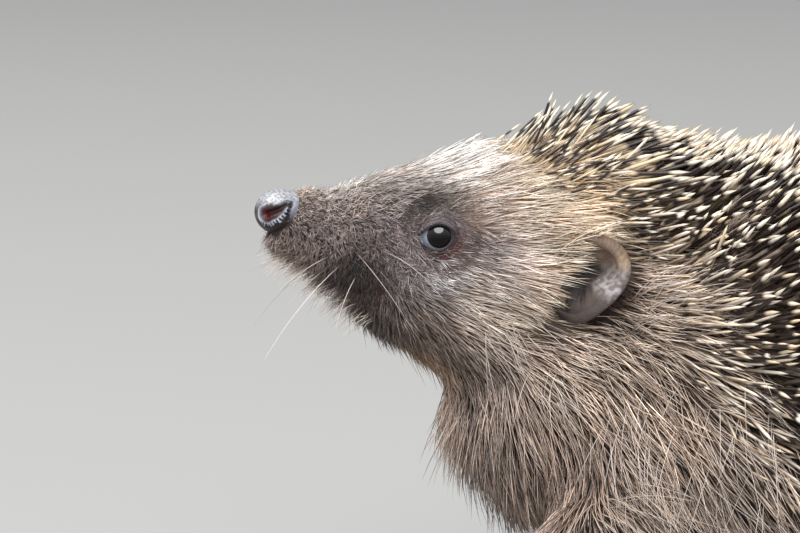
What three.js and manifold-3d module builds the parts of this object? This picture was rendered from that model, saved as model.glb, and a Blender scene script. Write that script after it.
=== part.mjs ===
// A European hedgehog, standing with its head raised to sniff. Life size, in millimetres, +Z up.
// The nose points to -X, the left side faces -Y, and the soles stand at Z = 0.
// The solids reach out to the tips of the fur and the spines, which they leave out.
import * as THREE from "three";
import { mergeVertices } from "three/addons/utils/BufferGeometryUtils.js";
import Module from "manifold-3d";

const wasm = await Module();
wasm.setup();

// Driving dimensions. X is counted from the middle of the body before the model is centred.
const GAP = 0.3; // left between pieces that meet
const FAR = 400; // past every side of the model
const HEAD_TURN = THREE.MathUtils.degToRad(7); // towards the left side
const NECK_PIVOT = -58; // X of the point that the head turns about
const EYE = { x: -92.7, y: 12.4, z: 91.4, radius: 3.3 };
const NOSE = { x: -120.9, z: 95.0, long: 4.6, wide: 4.7, high: 4.6 };
const NOSTRIL = { side: 2.7, radius: 1.5 };
const EAR = { x: -67.2, y: 27.5, z: 85.4, radius: 9.2, depth: 3.6, thick: 1.5, lean: 20, flare: 20 };
const FOREFOOT = { x: -71, y: 31, long: 20, wide: 15, high: 12, toe: 8.5, claw: 5.5 };
const HINDFOOT = { x: 62, y: 37, long: 33, wide: 15, high: 12, toe: 8.5, claw: 6.5 };
const ANKLE_HEIGHT = 11; // the level at which legs and feet part
const TOES = 5;
const TOE_RADIUS = 2.5;
const TOE_FAN = THREE.MathUtils.degToRad(16); // between neighbouring toes
const CLAW_RADIUS = 0.95;
const CLAW_TIP_HEIGHT = 1.2;
// How far each foot is set forward of an even stance.
const STRIDE = { front_left: 5, front_right: -5, hind_left: -4, hind_right: 6 };

// Sections of each body, from front to back. top, bottom and half are the section's reach up,
// down and to each side, widest is the height of its widest place, and a peak above 1 narrows
// its upper half.
const HEAD = [
  { x: -119, top: 98.6, bottom: 84.0, half: 6.0, widest: 91.2, peak: 1.0 },
  { x: -112, top: 99.6, bottom: 77.6, half: 8.6, widest: 87.5, peak: 1.1 },
  { x: -104, top: 102.6, bottom: 70.9, half: 11.8, widest: 81.5, peak: 1.3 },
  { x: -96, top: 105.0, bottom: 65.2, half: 16.5, widest: 76.5, peak: 1.55 },
  { x: -88, top: 107.6, bottom: 61.0, half: 21.0, widest: 73.5, peak: 1.6 },
  { x: -80, top: 111.4, bottom: 59.0, half: 24.5, widest: 74.5, peak: 1.35 },
  { x: -70, top: 115.6, bottom: 59.0, half: 27.0, widest: 78.0, peak: 1.1 },
  { x: -60, top: 116.0, bottom: 62.0, half: 28.5, widest: 81.0, peak: 1.0 },
  { x: -48, top: 112.0, bottom: 68.0, half: 28.0, widest: 84.0, peak: 1.0 },
];
const NECK = [
  { x: -87, top: 69.0, bottom: 44.0, half: 17.0, widest: 56.0, peak: 1.0 },
  { x: -80, top: 86.0, bottom: 37.0, half: 27.0, widest: 57.0, peak: 1.6 },
  { x: -70, top: 104.0, bottom: 32.0, half: 35.0, widest: 57.0, peak: 2.6 },
  { x: -60, top: 110.0, bottom: 28.0, half: 42.0, widest: 57.0, peak: 3.0 },
  { x: -47, top: 110.0, bottom: 24.5, half: 49.0, widest: 57.0, peak: 1.7 },
  { x: -30, top: 108.5, bottom: 23.0, half: 55.0, widest: 56.0, peak: 1.0 },
];
const MANTLE = [
  { x: -50, top: 109.5, bottom: 58.0, half: 33.0, widest: 78.0, peak: 1.0 },
  { x: -38, top: 109.5, bottom: 49.0, half: 51.0, widest: 66.0, peak: 1.0 },
  { x: -20, top: 110.0, bottom: 41.0, half: 61.5, widest: 58.0, peak: 1.0 },
  { x: 5, top: 114.0, bottom: 37.0, half: 66.5, widest: 54.0, peak: 1.0 },
  { x: 35, top: 117.0, bottom: 36.0, half: 68.0, widest: 52.0, peak: 1.0 },
  { x: 56, top: 115.5, bottom: 36.0, half: 66.5, widest: 52.0, peak: 1.0 },
];
const BELLY = [
  { x: -68, top: 72.0, bottom: 31.0, half: 32.0, widest: 50.0, peak: 1.0 },
  { x: -48, top: 82.0, bottom: 24.0, half: 47.0, widest: 48.0, peak: 1.0 },
  { x: -15, top: 86.0, bottom: 20.5, half: 55.0, widest: 46.0, peak: 1.0 },
  { x: 25, top: 86.0, bottom: 20.0, half: 58.0, widest: 44.0, peak: 1.0 },
  { x: 45, top: 85.0, bottom: 20.5, half: 56.5, widest: 44.0, peak: 1.0 },
];
// Where the body is parted, as lines seen from the side: X, Z.
const NAPE_TO_THROAT = [[-49, 130], [-50, 104], [-51, 86], [-57, 70], [-71, 63], [-88, 60.8], [-108, 60.5]];
const SHOULDER_LINE = [[-36, 130], [-54, 0]];
const MOUTH_LINE = [[-130, 85.4], [-118, 84.8], [-108, 81.6], [-99, 77]];
const SKIRT_LINE = [[-62, 92], [-50, 74], [-43, 58], [-30, 45], [-8, 39], [30, 36], [75, 37], [120, 40]];

const material = (color, roughness) =>
  new THREE.MeshStandardMaterial({ color, roughness, metalness: 0 });
const FACE_FUR = material("#8a7565", 0.9);
const BODY_FUR = material("#8c7a6c", 0.9);
const SPINES = material("#6b5a48", 0.7);
const BARE_SKIN = material("#5d4c46", 0.65);
const EAR_SKIN = material("#6a5850", 0.6);
const NOSE_SKIN = material("#262428", 0.25);
const EYEBALL = material("#120d0b", 0.08);
const HORN = material("#b39b7e", 0.45);

// Builders of closed surfaces

// A closed surface through rings of equally many points, with a point at each end.
function closedRings(rings, first, last) {
  const around = rings[0].length;
  const points = [first, ...rings.flat(), last];
  const faces = [];
  for (let i = 0; i < around; i++) {
    const next = (i + 1) % around;
    faces.push([0, 1 + next, 1 + i]);
    for (let r = 0; r + 1 < rings.length; r++) {
      const here = 1 + r * around;
      const there = here + around;
      faces.push([here + i, here + next, there + next], [here + i, there + next, there + i]);
    }
    const end = 1 + (rings.length - 1) * around;
    faces.push([end + i, end + next, points.length - 1]);
  }
  const volume = faces.reduce(
    (sum, [a, b, c]) => sum + points[a].dot(points[b].clone().cross(points[c])), 0);
  const index = faces.flatMap(([a, b, c]) => (volume < 0 ? [a, c, b] : [a, b, c]));
  return new THREE.BufferGeometry().setFromPoints(points).setIndex(index);
}

// A body with sections across X, rounded off over frontCap and backCap past its end stations.
function loft({ stations, frontCap, backCap, slices, around, frontSlices = 3, backSlices = 3 }) {
  const keys = ["top", "bottom", "half", "widest", "peak"];
  const curve = new THREE.CubicInterpolant(
    stations.map((s) => s.x), stations.flatMap((s) => keys.map((k) => s[k])), keys.length);
  const front = stations[0].x;
  const back = stations.at(-1).x;
  const section = (x, scale) => {
    const [top, bottom, half, widest, peak] = curve.evaluate(THREE.MathUtils.clamp(x, front, back));
    return Array.from({ length: around }, (_, i) => {
      const turn = (2 * Math.PI * i) / around;
      const across = Math.cos(turn);
      const up = Math.sin(turn);
      const narrowing = up > 0 ? Math.abs(across) ** peak : Math.abs(across);
      const reach = up > 0 ? top - widest : widest - bottom;
      return new THREE.Vector3(
        x, half * scale * Math.sign(across) * narrowing, widest + scale * reach * up);
    });
  };
  const capRings = (end, length, out, count) =>
    Array.from({ length: count - 1 }, (_, i) => {
      const turn = (Math.PI / 2) * ((i + 1) / count);
      return section(end + out * length * Math.cos(turn), Math.sin(turn));
    });
  const body = Array.from({ length: slices + 1 }, (_, i) =>
    section(THREE.MathUtils.lerp(front, back, i / slices), 1));
  const rings = [
    ...capRings(front, frontCap, -1, frontSlices),
    ...body,
    ...capRings(back, backCap, 1, backSlices).reverse(),
  ];
  const tip = (end, reach) => new THREE.Vector3(end + reach, 0, curve.evaluate(end)[3]);
  return closedRings(rings, tip(front, -frontCap), tip(back, backCap));
}

// A limb, toe or claw along a smooth path, with its radius given at equal steps along the way.
// Its ends are rounded, or are low cones where rounded is false.
function limb({ path, radii, steps, around, grow = 0, rounded = true }) {
  const line = new THREE.CatmullRomCurve3(path);
  const radiusAt = new THREE.CubicInterpolant(radii.map((_, i) => i / (radii.length - 1)), radii, 1);
  const side = new THREE.Vector3(0, 1, 0);
  const ring = (t, extra, scale) => {
    const ahead = line.getTangent(t);
    const across = side.clone().addScaledVector(ahead, -side.dot(ahead)).normalize();
    const up = ahead.clone().cross(across);
    const middle = line.getPoint(t).addScaledVector(ahead, extra);
    const radius = (radiusAt.evaluate(t)[0] + grow) * scale;
    return Array.from({ length: around }, (_, i) => {
      const turn = (2 * Math.PI * i) / around;
      return middle.clone()
        .addScaledVector(across, radius * Math.cos(turn))
        .addScaledVector(up, radius * Math.sin(turn));
    });
  };
  const startReach = (radii[0] + grow) / 2;
  const endReach = (radii.at(-1) + grow) / 2;
  const rings = Array.from({ length: steps + 1 }, (_, i) => ring(i / steps, 0, 1));
  if (rounded) {
    rings.unshift(ring(0, -startReach * 0.7, 0.7));
    rings.push(ring(1, endReach * 0.7, 0.7));
  }
  const start = line.getPoint(0).addScaledVector(line.getTangent(0), -startReach);
  const end = line.getPoint(1).addScaledVector(line.getTangent(1), endReach);
  return closedRings(rings, start, end);
}

function ellipsoid(centre, radii, widthSegments, heightSegments) {
  return new THREE.SphereGeometry(1, widthSegments, heightSegments)
    .scale(...radii)
    .translate(centre.x, centre.y, centre.z);
}

// Solids and regions

function solid(geometry) {
  const bare = new THREE.BufferGeometry()
    .setAttribute("position", geometry.getAttribute("position"))
    .setIndex(geometry.index);
  const merged = mergeVertices(bare, 1e-4);
  const corners = merged.index.array;
  const faces = [];
  for (let i = 0; i < corners.length; i += 3) {
    const [a, b, c] = corners.subarray(i, i + 3);
    if (a !== b && b !== c && c !== a) faces.push(a, b, c);
  }
  return new wasm.Manifold(new wasm.Mesh({
    numProp: 3,
    vertProperties: Float32Array.from(merged.attributes.position.array),
    triVerts: Uint32Array.from(faces),
  }));
}

function geometryOf(manifold) {
  const mesh = manifold.getMesh();
  return new THREE.BufferGeometry()
    .setAttribute("position", new THREE.BufferAttribute(mesh.vertProperties, 3))
    .setIndex(new THREE.BufferAttribute(mesh.triVerts, 1));
}

// The space on one side of a line seen from the side. corners close the outline round that side,
// and the line is moved by shift along the direction given.
function region(line, corners, direction = [0, 0], shift = 0) {
  const smooth = new THREE.SplineCurve(line.map(([x, z]) => new THREE.Vector2(x, z)));
  const edge = smooth.getPoints(line.length > 2 ? 12 : 1)
    .map((p) => new THREE.Vector2(p.x + direction[0] * shift, p.y + direction[1] * shift));
  const outline = new THREE.Shape([...edge, ...corners.map(([x, z]) => new THREE.Vector2(x, z))]);
  const slab = new THREE.ExtrudeGeometry(outline, { depth: 2 * FAR, bevelEnabled: false });
  // The outline is drawn in X and Y, and stood up so that it lies in X and Z.
  return solid(slab.translate(0, 0, -FAR).rotateX(Math.PI / 2));
}

const headTurn = new THREE.Matrix4()
  .makeTranslation(NECK_PIVOT, 0, 0)
  .multiply(new THREE.Matrix4().makeRotationZ(HEAD_TURN))
  .multiply(new THREE.Matrix4().makeTranslation(-NECK_PIVOT, 0, 0));
const turned = (geometry) => geometry.applyMatrix4(headTurn);

// Head

// Draws the surface in round each eye, so that the eyeball sits in a shallow socket.
function sinkSockets(geometry) {
  const place = geometry.getAttribute("position");
  const socket = { width: 7, depth: 2.2 };
  for (let i = 0; i < place.count; i++) {
    const away = Math.hypot(place.getX(i) - EYE.x, place.getZ(i) - EYE.z);
    const sink = socket.depth * Math.exp(-((away / socket.width) ** 2));
    place.setY(i, place.getY(i) - Math.sign(place.getY(i)) * Math.min(sink, Math.abs(place.getY(i))));
  }
  return geometry;
}

const eyeball = (side, grow) =>
  turned(ellipsoid(
    new THREE.Vector3(EYE.x, side * EYE.y, EYE.z), Array(3).fill(EYE.radius + grow), 12, 8));

function nosePad(grow) {
  const pad = solid(turned(ellipsoid(
    new THREE.Vector3(NOSE.x, 0, NOSE.z),
    [NOSE.long + grow, NOSE.wide + grow, NOSE.high + grow], 12, 8)));
  if (grow > 0) return pad;
  return [-1, 1].reduce((rest, side) => {
    const place = new THREE.Vector3(NOSE.x - NOSE.long * 0.5, side * NOSE.wide * 0.72, NOSE.z);
    const hole = ellipsoid(place, [NOSTRIL.side, NOSTRIL.radius, NOSTRIL.radius], 6, 4);
    return rest.subtract(solid(turned(hole)));
  }, pad);
}

// A shallow bowl that opens outwards. filled makes it a lens, to cut its place in the head.
function ear(side, { grow = 0, filled = false } = {}) {
  const lean = THREE.MathUtils.degToRad(EAR.lean);
  const flare = THREE.MathUtils.degToRad(EAR.flare);
  const up = new THREE.Vector3(Math.sin(lean), 0, Math.cos(lean));
  const back = new THREE.Vector3(
    Math.cos(lean) * Math.cos(flare), side * Math.sin(flare), -Math.sin(lean) * Math.cos(flare));
  const out = new THREE.Vector3(-Math.sin(flare), side * Math.cos(flare), 0);
  const centre = new THREE.Vector3(EAR.x, side * EAR.y, EAR.z);
  const place = (share, turn, inward) => {
    const reach = EAR.radius * share + grow;
    return centre.clone()
      .addScaledVector(up, reach * Math.cos(turn))
      .addScaledVector(back, reach * Math.sin(turn) * 0.95)
      .addScaledVector(out, EAR.depth * share ** 2 - inward);
  };
  const around = 16;
  const ring = (share, inward) =>
    Array.from({ length: around }, (_, i) => place(share, (2 * Math.PI * i) / around, inward));
  const shares = [0.4, 0.75];
  const outer = EAR.thick + grow;
  const hollow = filled
    ? [ring(1, -grow)]
    : [...shares.map((s) => ring(s, 0)), ring(0.97, 0), ring(1.03, EAR.thick * 0.35)];
  const shell = [...shares].reverse().map((s) => ring(s, outer));
  const rings = [...hollow, ring(1, outer), ...shell];
  const mouth = centre.clone().addScaledVector(out, filled ? EAR.depth + grow : 0);
  return turned(closedRings(rings, mouth, centre.clone().addScaledVector(out, -outer)));
}

// Feet

const FEET = ["front_left", "front_right", "hind_left", "hind_right"].map((name) => {
  const size = name.startsWith("front") ? FOREFOOT : HINDFOOT;
  const side = name.endsWith("left") ? -1 : 1;
  return { name, size, side, x: size.x - STRIDE[name], y: side * size.y };
});

// The toes fan out from the front of the foot. Each gives its direction and the middle of its tip.
function toesOf({ size, x, y }) {
  return Array.from({ length: TOES }, (_, i) => {
    const place = i - (TOES - 1) / 2;
    const turn = place * TOE_FAN;
    const ahead = new THREE.Vector3(-Math.cos(turn), Math.sin(turn), 0);
    const shorter = 1 - 0.07 * place ** 2;
    const root = new THREE.Vector3(x - size.long * 0.2, y + place * size.wide * 0.17, TOE_RADIUS + 1);
    const tip = root.clone()
      .addScaledVector(ahead, (size.long * 0.3 + size.toe) * shorter)
      .setZ(TOE_RADIUS - 0.5);
    return { ahead, root, tip };
  });
}

// The claw starts just clear of the rounded end of its toe.
function claw(size, { tip, ahead }) {
  const clear = (TOE_RADIUS + CLAW_RADIUS) / 2 + GAP;
  const start = tip.clone().addScaledVector(ahead, clear).setZ(TOE_RADIUS + 0.8);
  const bend = start.clone().addScaledVector(ahead, size.claw * 0.5).setZ(TOE_RADIUS + 0.6);
  const end = start.clone().addScaledVector(ahead, size.claw).setZ(CLAW_TIP_HEIGHT);
  return limb({
    path: [start, bend, end],
    radii: [CLAW_RADIUS, CLAW_RADIUS * 0.85, CLAW_RADIUS * 0.35],
    steps: 2,
    around: 4,
    rounded: false,
  });
}

function foot({ size, side, x, y }, toes) {
  const palm = ellipsoid(
    new THREE.Vector3(x, y, size.high * 0.3), [size.long / 2, size.wide / 2, size.high * 0.5], 10, 6);
  const ankle = limb({
    path: [[0.3, size.high * 0.4], [0.36, size.high], [0.36, size.high + 9]].map(
      ([share, z]) => new THREE.Vector3(x + size.long * share * 0.6, y, z)),
    radii: [5.5, 6.2, 7], steps: 2, around: 7, rounded: false,
  });
  const parts = toes.map((toe) => solid(limb({
    path: [toe.root, toe.tip], radii: [TOE_RADIUS, TOE_RADIUS * 0.95], steps: 1, around: 5 })));
  return parts.reduce((sum, toe) => sum.add(toe), solid(palm).add(solid(ankle)));
}

// A leg from inside the belly down to the ankle.
function leg({ name, size, side, x, y }, grow) {
  const ankle = new THREE.Vector3(x + size.long * 0.216, y, ANKLE_HEIGHT - 4);
  const front = name.startsWith("front");
  const path = front
    ? [new THREE.Vector3(-62, side * 33, 44), new THREE.Vector3(-57, side * 34.5, 27), ankle]
    : [new THREE.Vector3(68, side * 37, 44), new THREE.Vector3(64, side * 40, 26), ankle];
  const radii = front ? [14, 10.5, 7] : [16, 12, 7.2];
  return solid(limb({ path, radii, steps: 5, around: 12, grow }));
}

// Putting the body together and parting it

const head = solid(sinkSockets(turned(loft({
  stations: HEAD, frontCap: 3.5, backCap: 8, slices: 14, around: 24 }))));
const neck = solid(loft({ stations: NECK, frontCap: 4.5, backCap: 10, slices: 7, around: 22 }));
const mantle = solid(loft({
  stations: MANTLE, frontCap: 7, backCap: 57, slices: 10, around: 30, backSlices: 8 }));
const belly = solid(loft({
  stations: BELLY, frontCap: 10, backCap: 57, slices: 7, around: 24, backSlices: 6 }));
const whole = head.add(neck).add(mantle).add(belly);

const AHEAD = [[-FAR, 60.5], [-FAR, FAR], [-49, FAR]];
const ABOVE_SKIRT = [[FAR, 40], [FAR, FAR], [-62, FAR]];
const FRONT = [[-54, -FAR], [-FAR, -FAR], [-FAR, FAR], [-36, FAR]];
const JAW_CORNERS = [[-97, 40], [-FAR, 40], [-FAR, 85.4]];
const beforeNape = (shift) => region(NAPE_TO_THROAT, AHEAD, [1, -1], shift);
const beforeShoulder = (shift) => region(SHOULDER_LINE, FRONT, [1, 0], shift);
const aboveSkirt = (shift) => region(SKIRT_LINE, ABOVE_SKIRT, [-0.7, -1], shift);
const belowMouth = (shift) => region(MOUTH_LINE, JAW_CORNERS, [1, 1], shift);

const openings = [-1, 1].reduce(
  (sum, side) => sum.add(solid(eyeball(side, GAP))).add(solid(ear(side, { grow: GAP, filled: true }))),
  nosePad(GAP));
const headPart = whole.intersect(beforeNape(0)).subtract(openings);
const rest = whole.subtract(beforeNape(GAP)).subtract(openings);
const trunk = rest.subtract(beforeShoulder(GAP));

// The largest body of a cut, which leaves out crumbs that a cut may shed.
function largest(manifold) {
  return manifold.decompose().sort((a, b) => b.volume() - a.volume())[0];
}

const group = new THREE.Group();
function place(name, shape, look) {
  const geometry = shape.isBufferGeometry ? shape : geometryOf(largest(shape));
  const mesh = new THREE.Mesh(geometry, look);
  mesh.name = name;
  group.add(mesh);
}

place("head", headPart.subtract(belowMouth(GAP)), FACE_FUR);
place("lower_jaw", headPart.intersect(belowMouth(0)), FACE_FUR);
place("nose", nosePad(0), NOSE_SKIN);
for (const [side, word] of [[-1, "left"], [1, "right"]]) {
  place(`eye_${word}`, eyeball(side, 0), EYEBALL);
  place(`ear_${word}`, ear(side), EAR_SKIN);
}

const legSpaces = FEET.map((one) => leg(one, GAP)).reduce((sum, one) => sum.add(one));
place("neck", rest.intersect(beforeShoulder(0)).subtract(legSpaces), BODY_FUR);
place("trunk_mantle", trunk.intersect(aboveSkirt(0)), SPINES);

const tailRoot = new THREE.Vector3(88, 0, 42);
const tail = (grow) => solid(limb({
  path: [tailRoot, new THREE.Vector3(102, 0, 36), new THREE.Vector3(112, 0, 27)],
  radii: [5.5, 4, 2], steps: 5, around: 10, grow }));
place("trunk_belly", trunk.subtract(aboveSkirt(GAP)).subtract(legSpaces).subtract(tail(GAP)), BODY_FUR);
place("tail", tail(0).subtract(trunk.intersect(aboveSkirt(GAP))), BODY_FUR);

const aboveFloor = region([[-FAR, 0], [FAR, 0]], [[FAR, FAR], [-FAR, FAR]]);
const belowAnkle = (shift) => region(
  [[-FAR, ANKLE_HEIGHT - shift], [FAR, ANKLE_HEIGHT - shift]], [[FAR, -FAR], [-FAR, -FAR]]);
for (const one of FEET) {
  const toes = toesOf(one);
  place(`leg_${one.name}`, leg(one, 0).subtract(belowAnkle(0)).subtract(aboveSkirt(GAP)), BODY_FUR);
  place(`foot_${one.name}`, foot(one, toes).intersect(aboveFloor).intersect(belowAnkle(GAP)), BARE_SKIN);
  toes.forEach((toe, i) => place(`claw_${one.name}_${i + 1}`, claw(one.size, toe), HORN));
}

// The origin is the middle of the model's footprint, at the level of the soles.
const bounds = new THREE.Box3().setFromObject(group, true);
const middle = bounds.getCenter(new THREE.Vector3());
group.position.set(-middle.x, -middle.y, -bounds.min.z);

export default group;
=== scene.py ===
"""A European hedgehog with its head raised to sniff: skin, hair, spines, eyes, nose and claws."""

import math

import bpy
import numpy as np
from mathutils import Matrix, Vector
from mathutils.bvhtree import BVHTree
from mathutils.kdtree import KDTree

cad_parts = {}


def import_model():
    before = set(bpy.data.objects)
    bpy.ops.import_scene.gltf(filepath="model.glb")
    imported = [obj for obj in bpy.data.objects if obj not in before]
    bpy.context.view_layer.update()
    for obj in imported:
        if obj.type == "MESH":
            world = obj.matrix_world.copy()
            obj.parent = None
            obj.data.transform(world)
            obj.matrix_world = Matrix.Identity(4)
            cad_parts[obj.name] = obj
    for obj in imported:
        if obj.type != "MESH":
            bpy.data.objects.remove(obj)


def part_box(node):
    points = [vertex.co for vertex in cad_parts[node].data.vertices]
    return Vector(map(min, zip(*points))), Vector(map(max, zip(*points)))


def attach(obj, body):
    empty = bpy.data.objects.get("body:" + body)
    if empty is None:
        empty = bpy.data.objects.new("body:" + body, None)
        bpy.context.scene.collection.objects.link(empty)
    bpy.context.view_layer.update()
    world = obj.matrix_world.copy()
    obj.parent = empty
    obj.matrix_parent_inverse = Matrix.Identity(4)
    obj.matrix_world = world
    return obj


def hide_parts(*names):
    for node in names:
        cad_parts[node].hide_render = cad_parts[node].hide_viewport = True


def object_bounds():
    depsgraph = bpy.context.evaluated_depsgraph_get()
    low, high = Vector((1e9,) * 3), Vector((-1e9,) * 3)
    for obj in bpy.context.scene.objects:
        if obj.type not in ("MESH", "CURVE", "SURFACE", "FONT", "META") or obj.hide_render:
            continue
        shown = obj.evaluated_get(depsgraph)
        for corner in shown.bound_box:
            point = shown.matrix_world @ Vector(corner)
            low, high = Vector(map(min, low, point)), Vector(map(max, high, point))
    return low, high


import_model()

cad_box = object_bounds()

# Everything is worked out in millimetres, and turned into metres where a mesh is made.
MM = 0.001
SIDES = {"left": 1, "right": -1}
FEET = ("front_left", "front_right", "hind_left", "hind_right")
DOWN = np.array([0.0, 0.0, -1.0])
UP = -DOWN
rng = np.random.default_rng(seed=7)


# Places on the animal, from the frame

def box_of(node):
    low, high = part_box(node)
    return np.array(low) / MM, np.array(high) / MM


def centre_of(node):
    low, high = box_of(node)
    return (low + high) / 2


def radius_of(node):
    """Half a node's height."""
    low, high = box_of(node)
    return (high - low)[2] / 2


NOSE = centre_of("nose")
NOSE_RADIUS = radius_of("nose")
EYES = {side: centre_of(f"eye_{side}") for side in SIDES}
EYE_RADIUS = radius_of("eye_left")
EARS = {side: centre_of(f"ear_{side}") for side in SIDES}

# The head is turned a little, so it has axes of its own: back from the nose, to its left, and up.
back_axis = (EYES["left"] + EYES["right"]) / 2 - NOSE
back_axis[2] = 0
BACK = back_axis / np.linalg.norm(back_axis)
LEFT = np.array([BACK[1], -BACK[0], 0.0])


def head_direction(back, left, up):
    return back * BACK + left * LEFT + up * UP


def from_nose(back, left, up):
    return NOSE + back * BACK + left * LEFT + up * UP


def body_axes(x, y, z):
    """A place or a direction that is given along the model's own axes."""
    return np.array([x, y, z])


def unit(vectors):
    return vectors / np.maximum(np.linalg.norm(vectors, axis=-1, keepdims=True), 1e-9)


def linear(colour):
    """An sRGB colour such as "#a08060" as linear red, green and blue."""
    channels = np.array([int(colour[i:i + 2], 16) for i in (1, 3, 5)]) / 255
    return np.where(channels <= 0.04045, channels / 12.92, ((channels + 0.055) / 1.055) ** 2.4)


def smoothstep(low, high, x):
    t = np.clip((x - low) / (high - low), 0, 1)
    return t * t * (3 - 2 * t)


def bell(x, width, middle=0.0):
    """1 at the middle, falling smoothly to next to nothing at two widths from it."""
    return np.exp(-((x - middle) / width) ** 2)


def bell_of_turn(turn, width, middle):
    """The same for turns, with the width in radians and the middle in degrees."""
    return bell(np.angle(np.exp(1j * (turn - math.radians(middle)))), width)


def turns(count):
    """Evenly spaced turns once round, in radians."""
    return np.linspace(0, 2 * np.pi, count, endpoint=False)


def ripple(points, size, phase=0.0):
    """Smooth, repeatable unevenness between -1 and 1, in lumps about as large as size."""
    p = points / size
    x, y, z = p[..., 0], p[..., 1], p[..., 2]
    return (np.sin(2.1 * x + 1.3 * np.sin(1.7 * y + phase) + phase)
            + np.sin(1.9 * y + 1.5 * np.sin(1.3 * z + 2 * phase) + 2.3)
            + np.sin(2.3 * z + 1.4 * np.sin(1.9 * x - phase) + 4.1)) / 3


# The lie of the coat. Each guide gives, for one place on the animal, which way the hair lies there,
# its length, its lift off the skin in degrees, its width, and its colours at the root and the tip.

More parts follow.
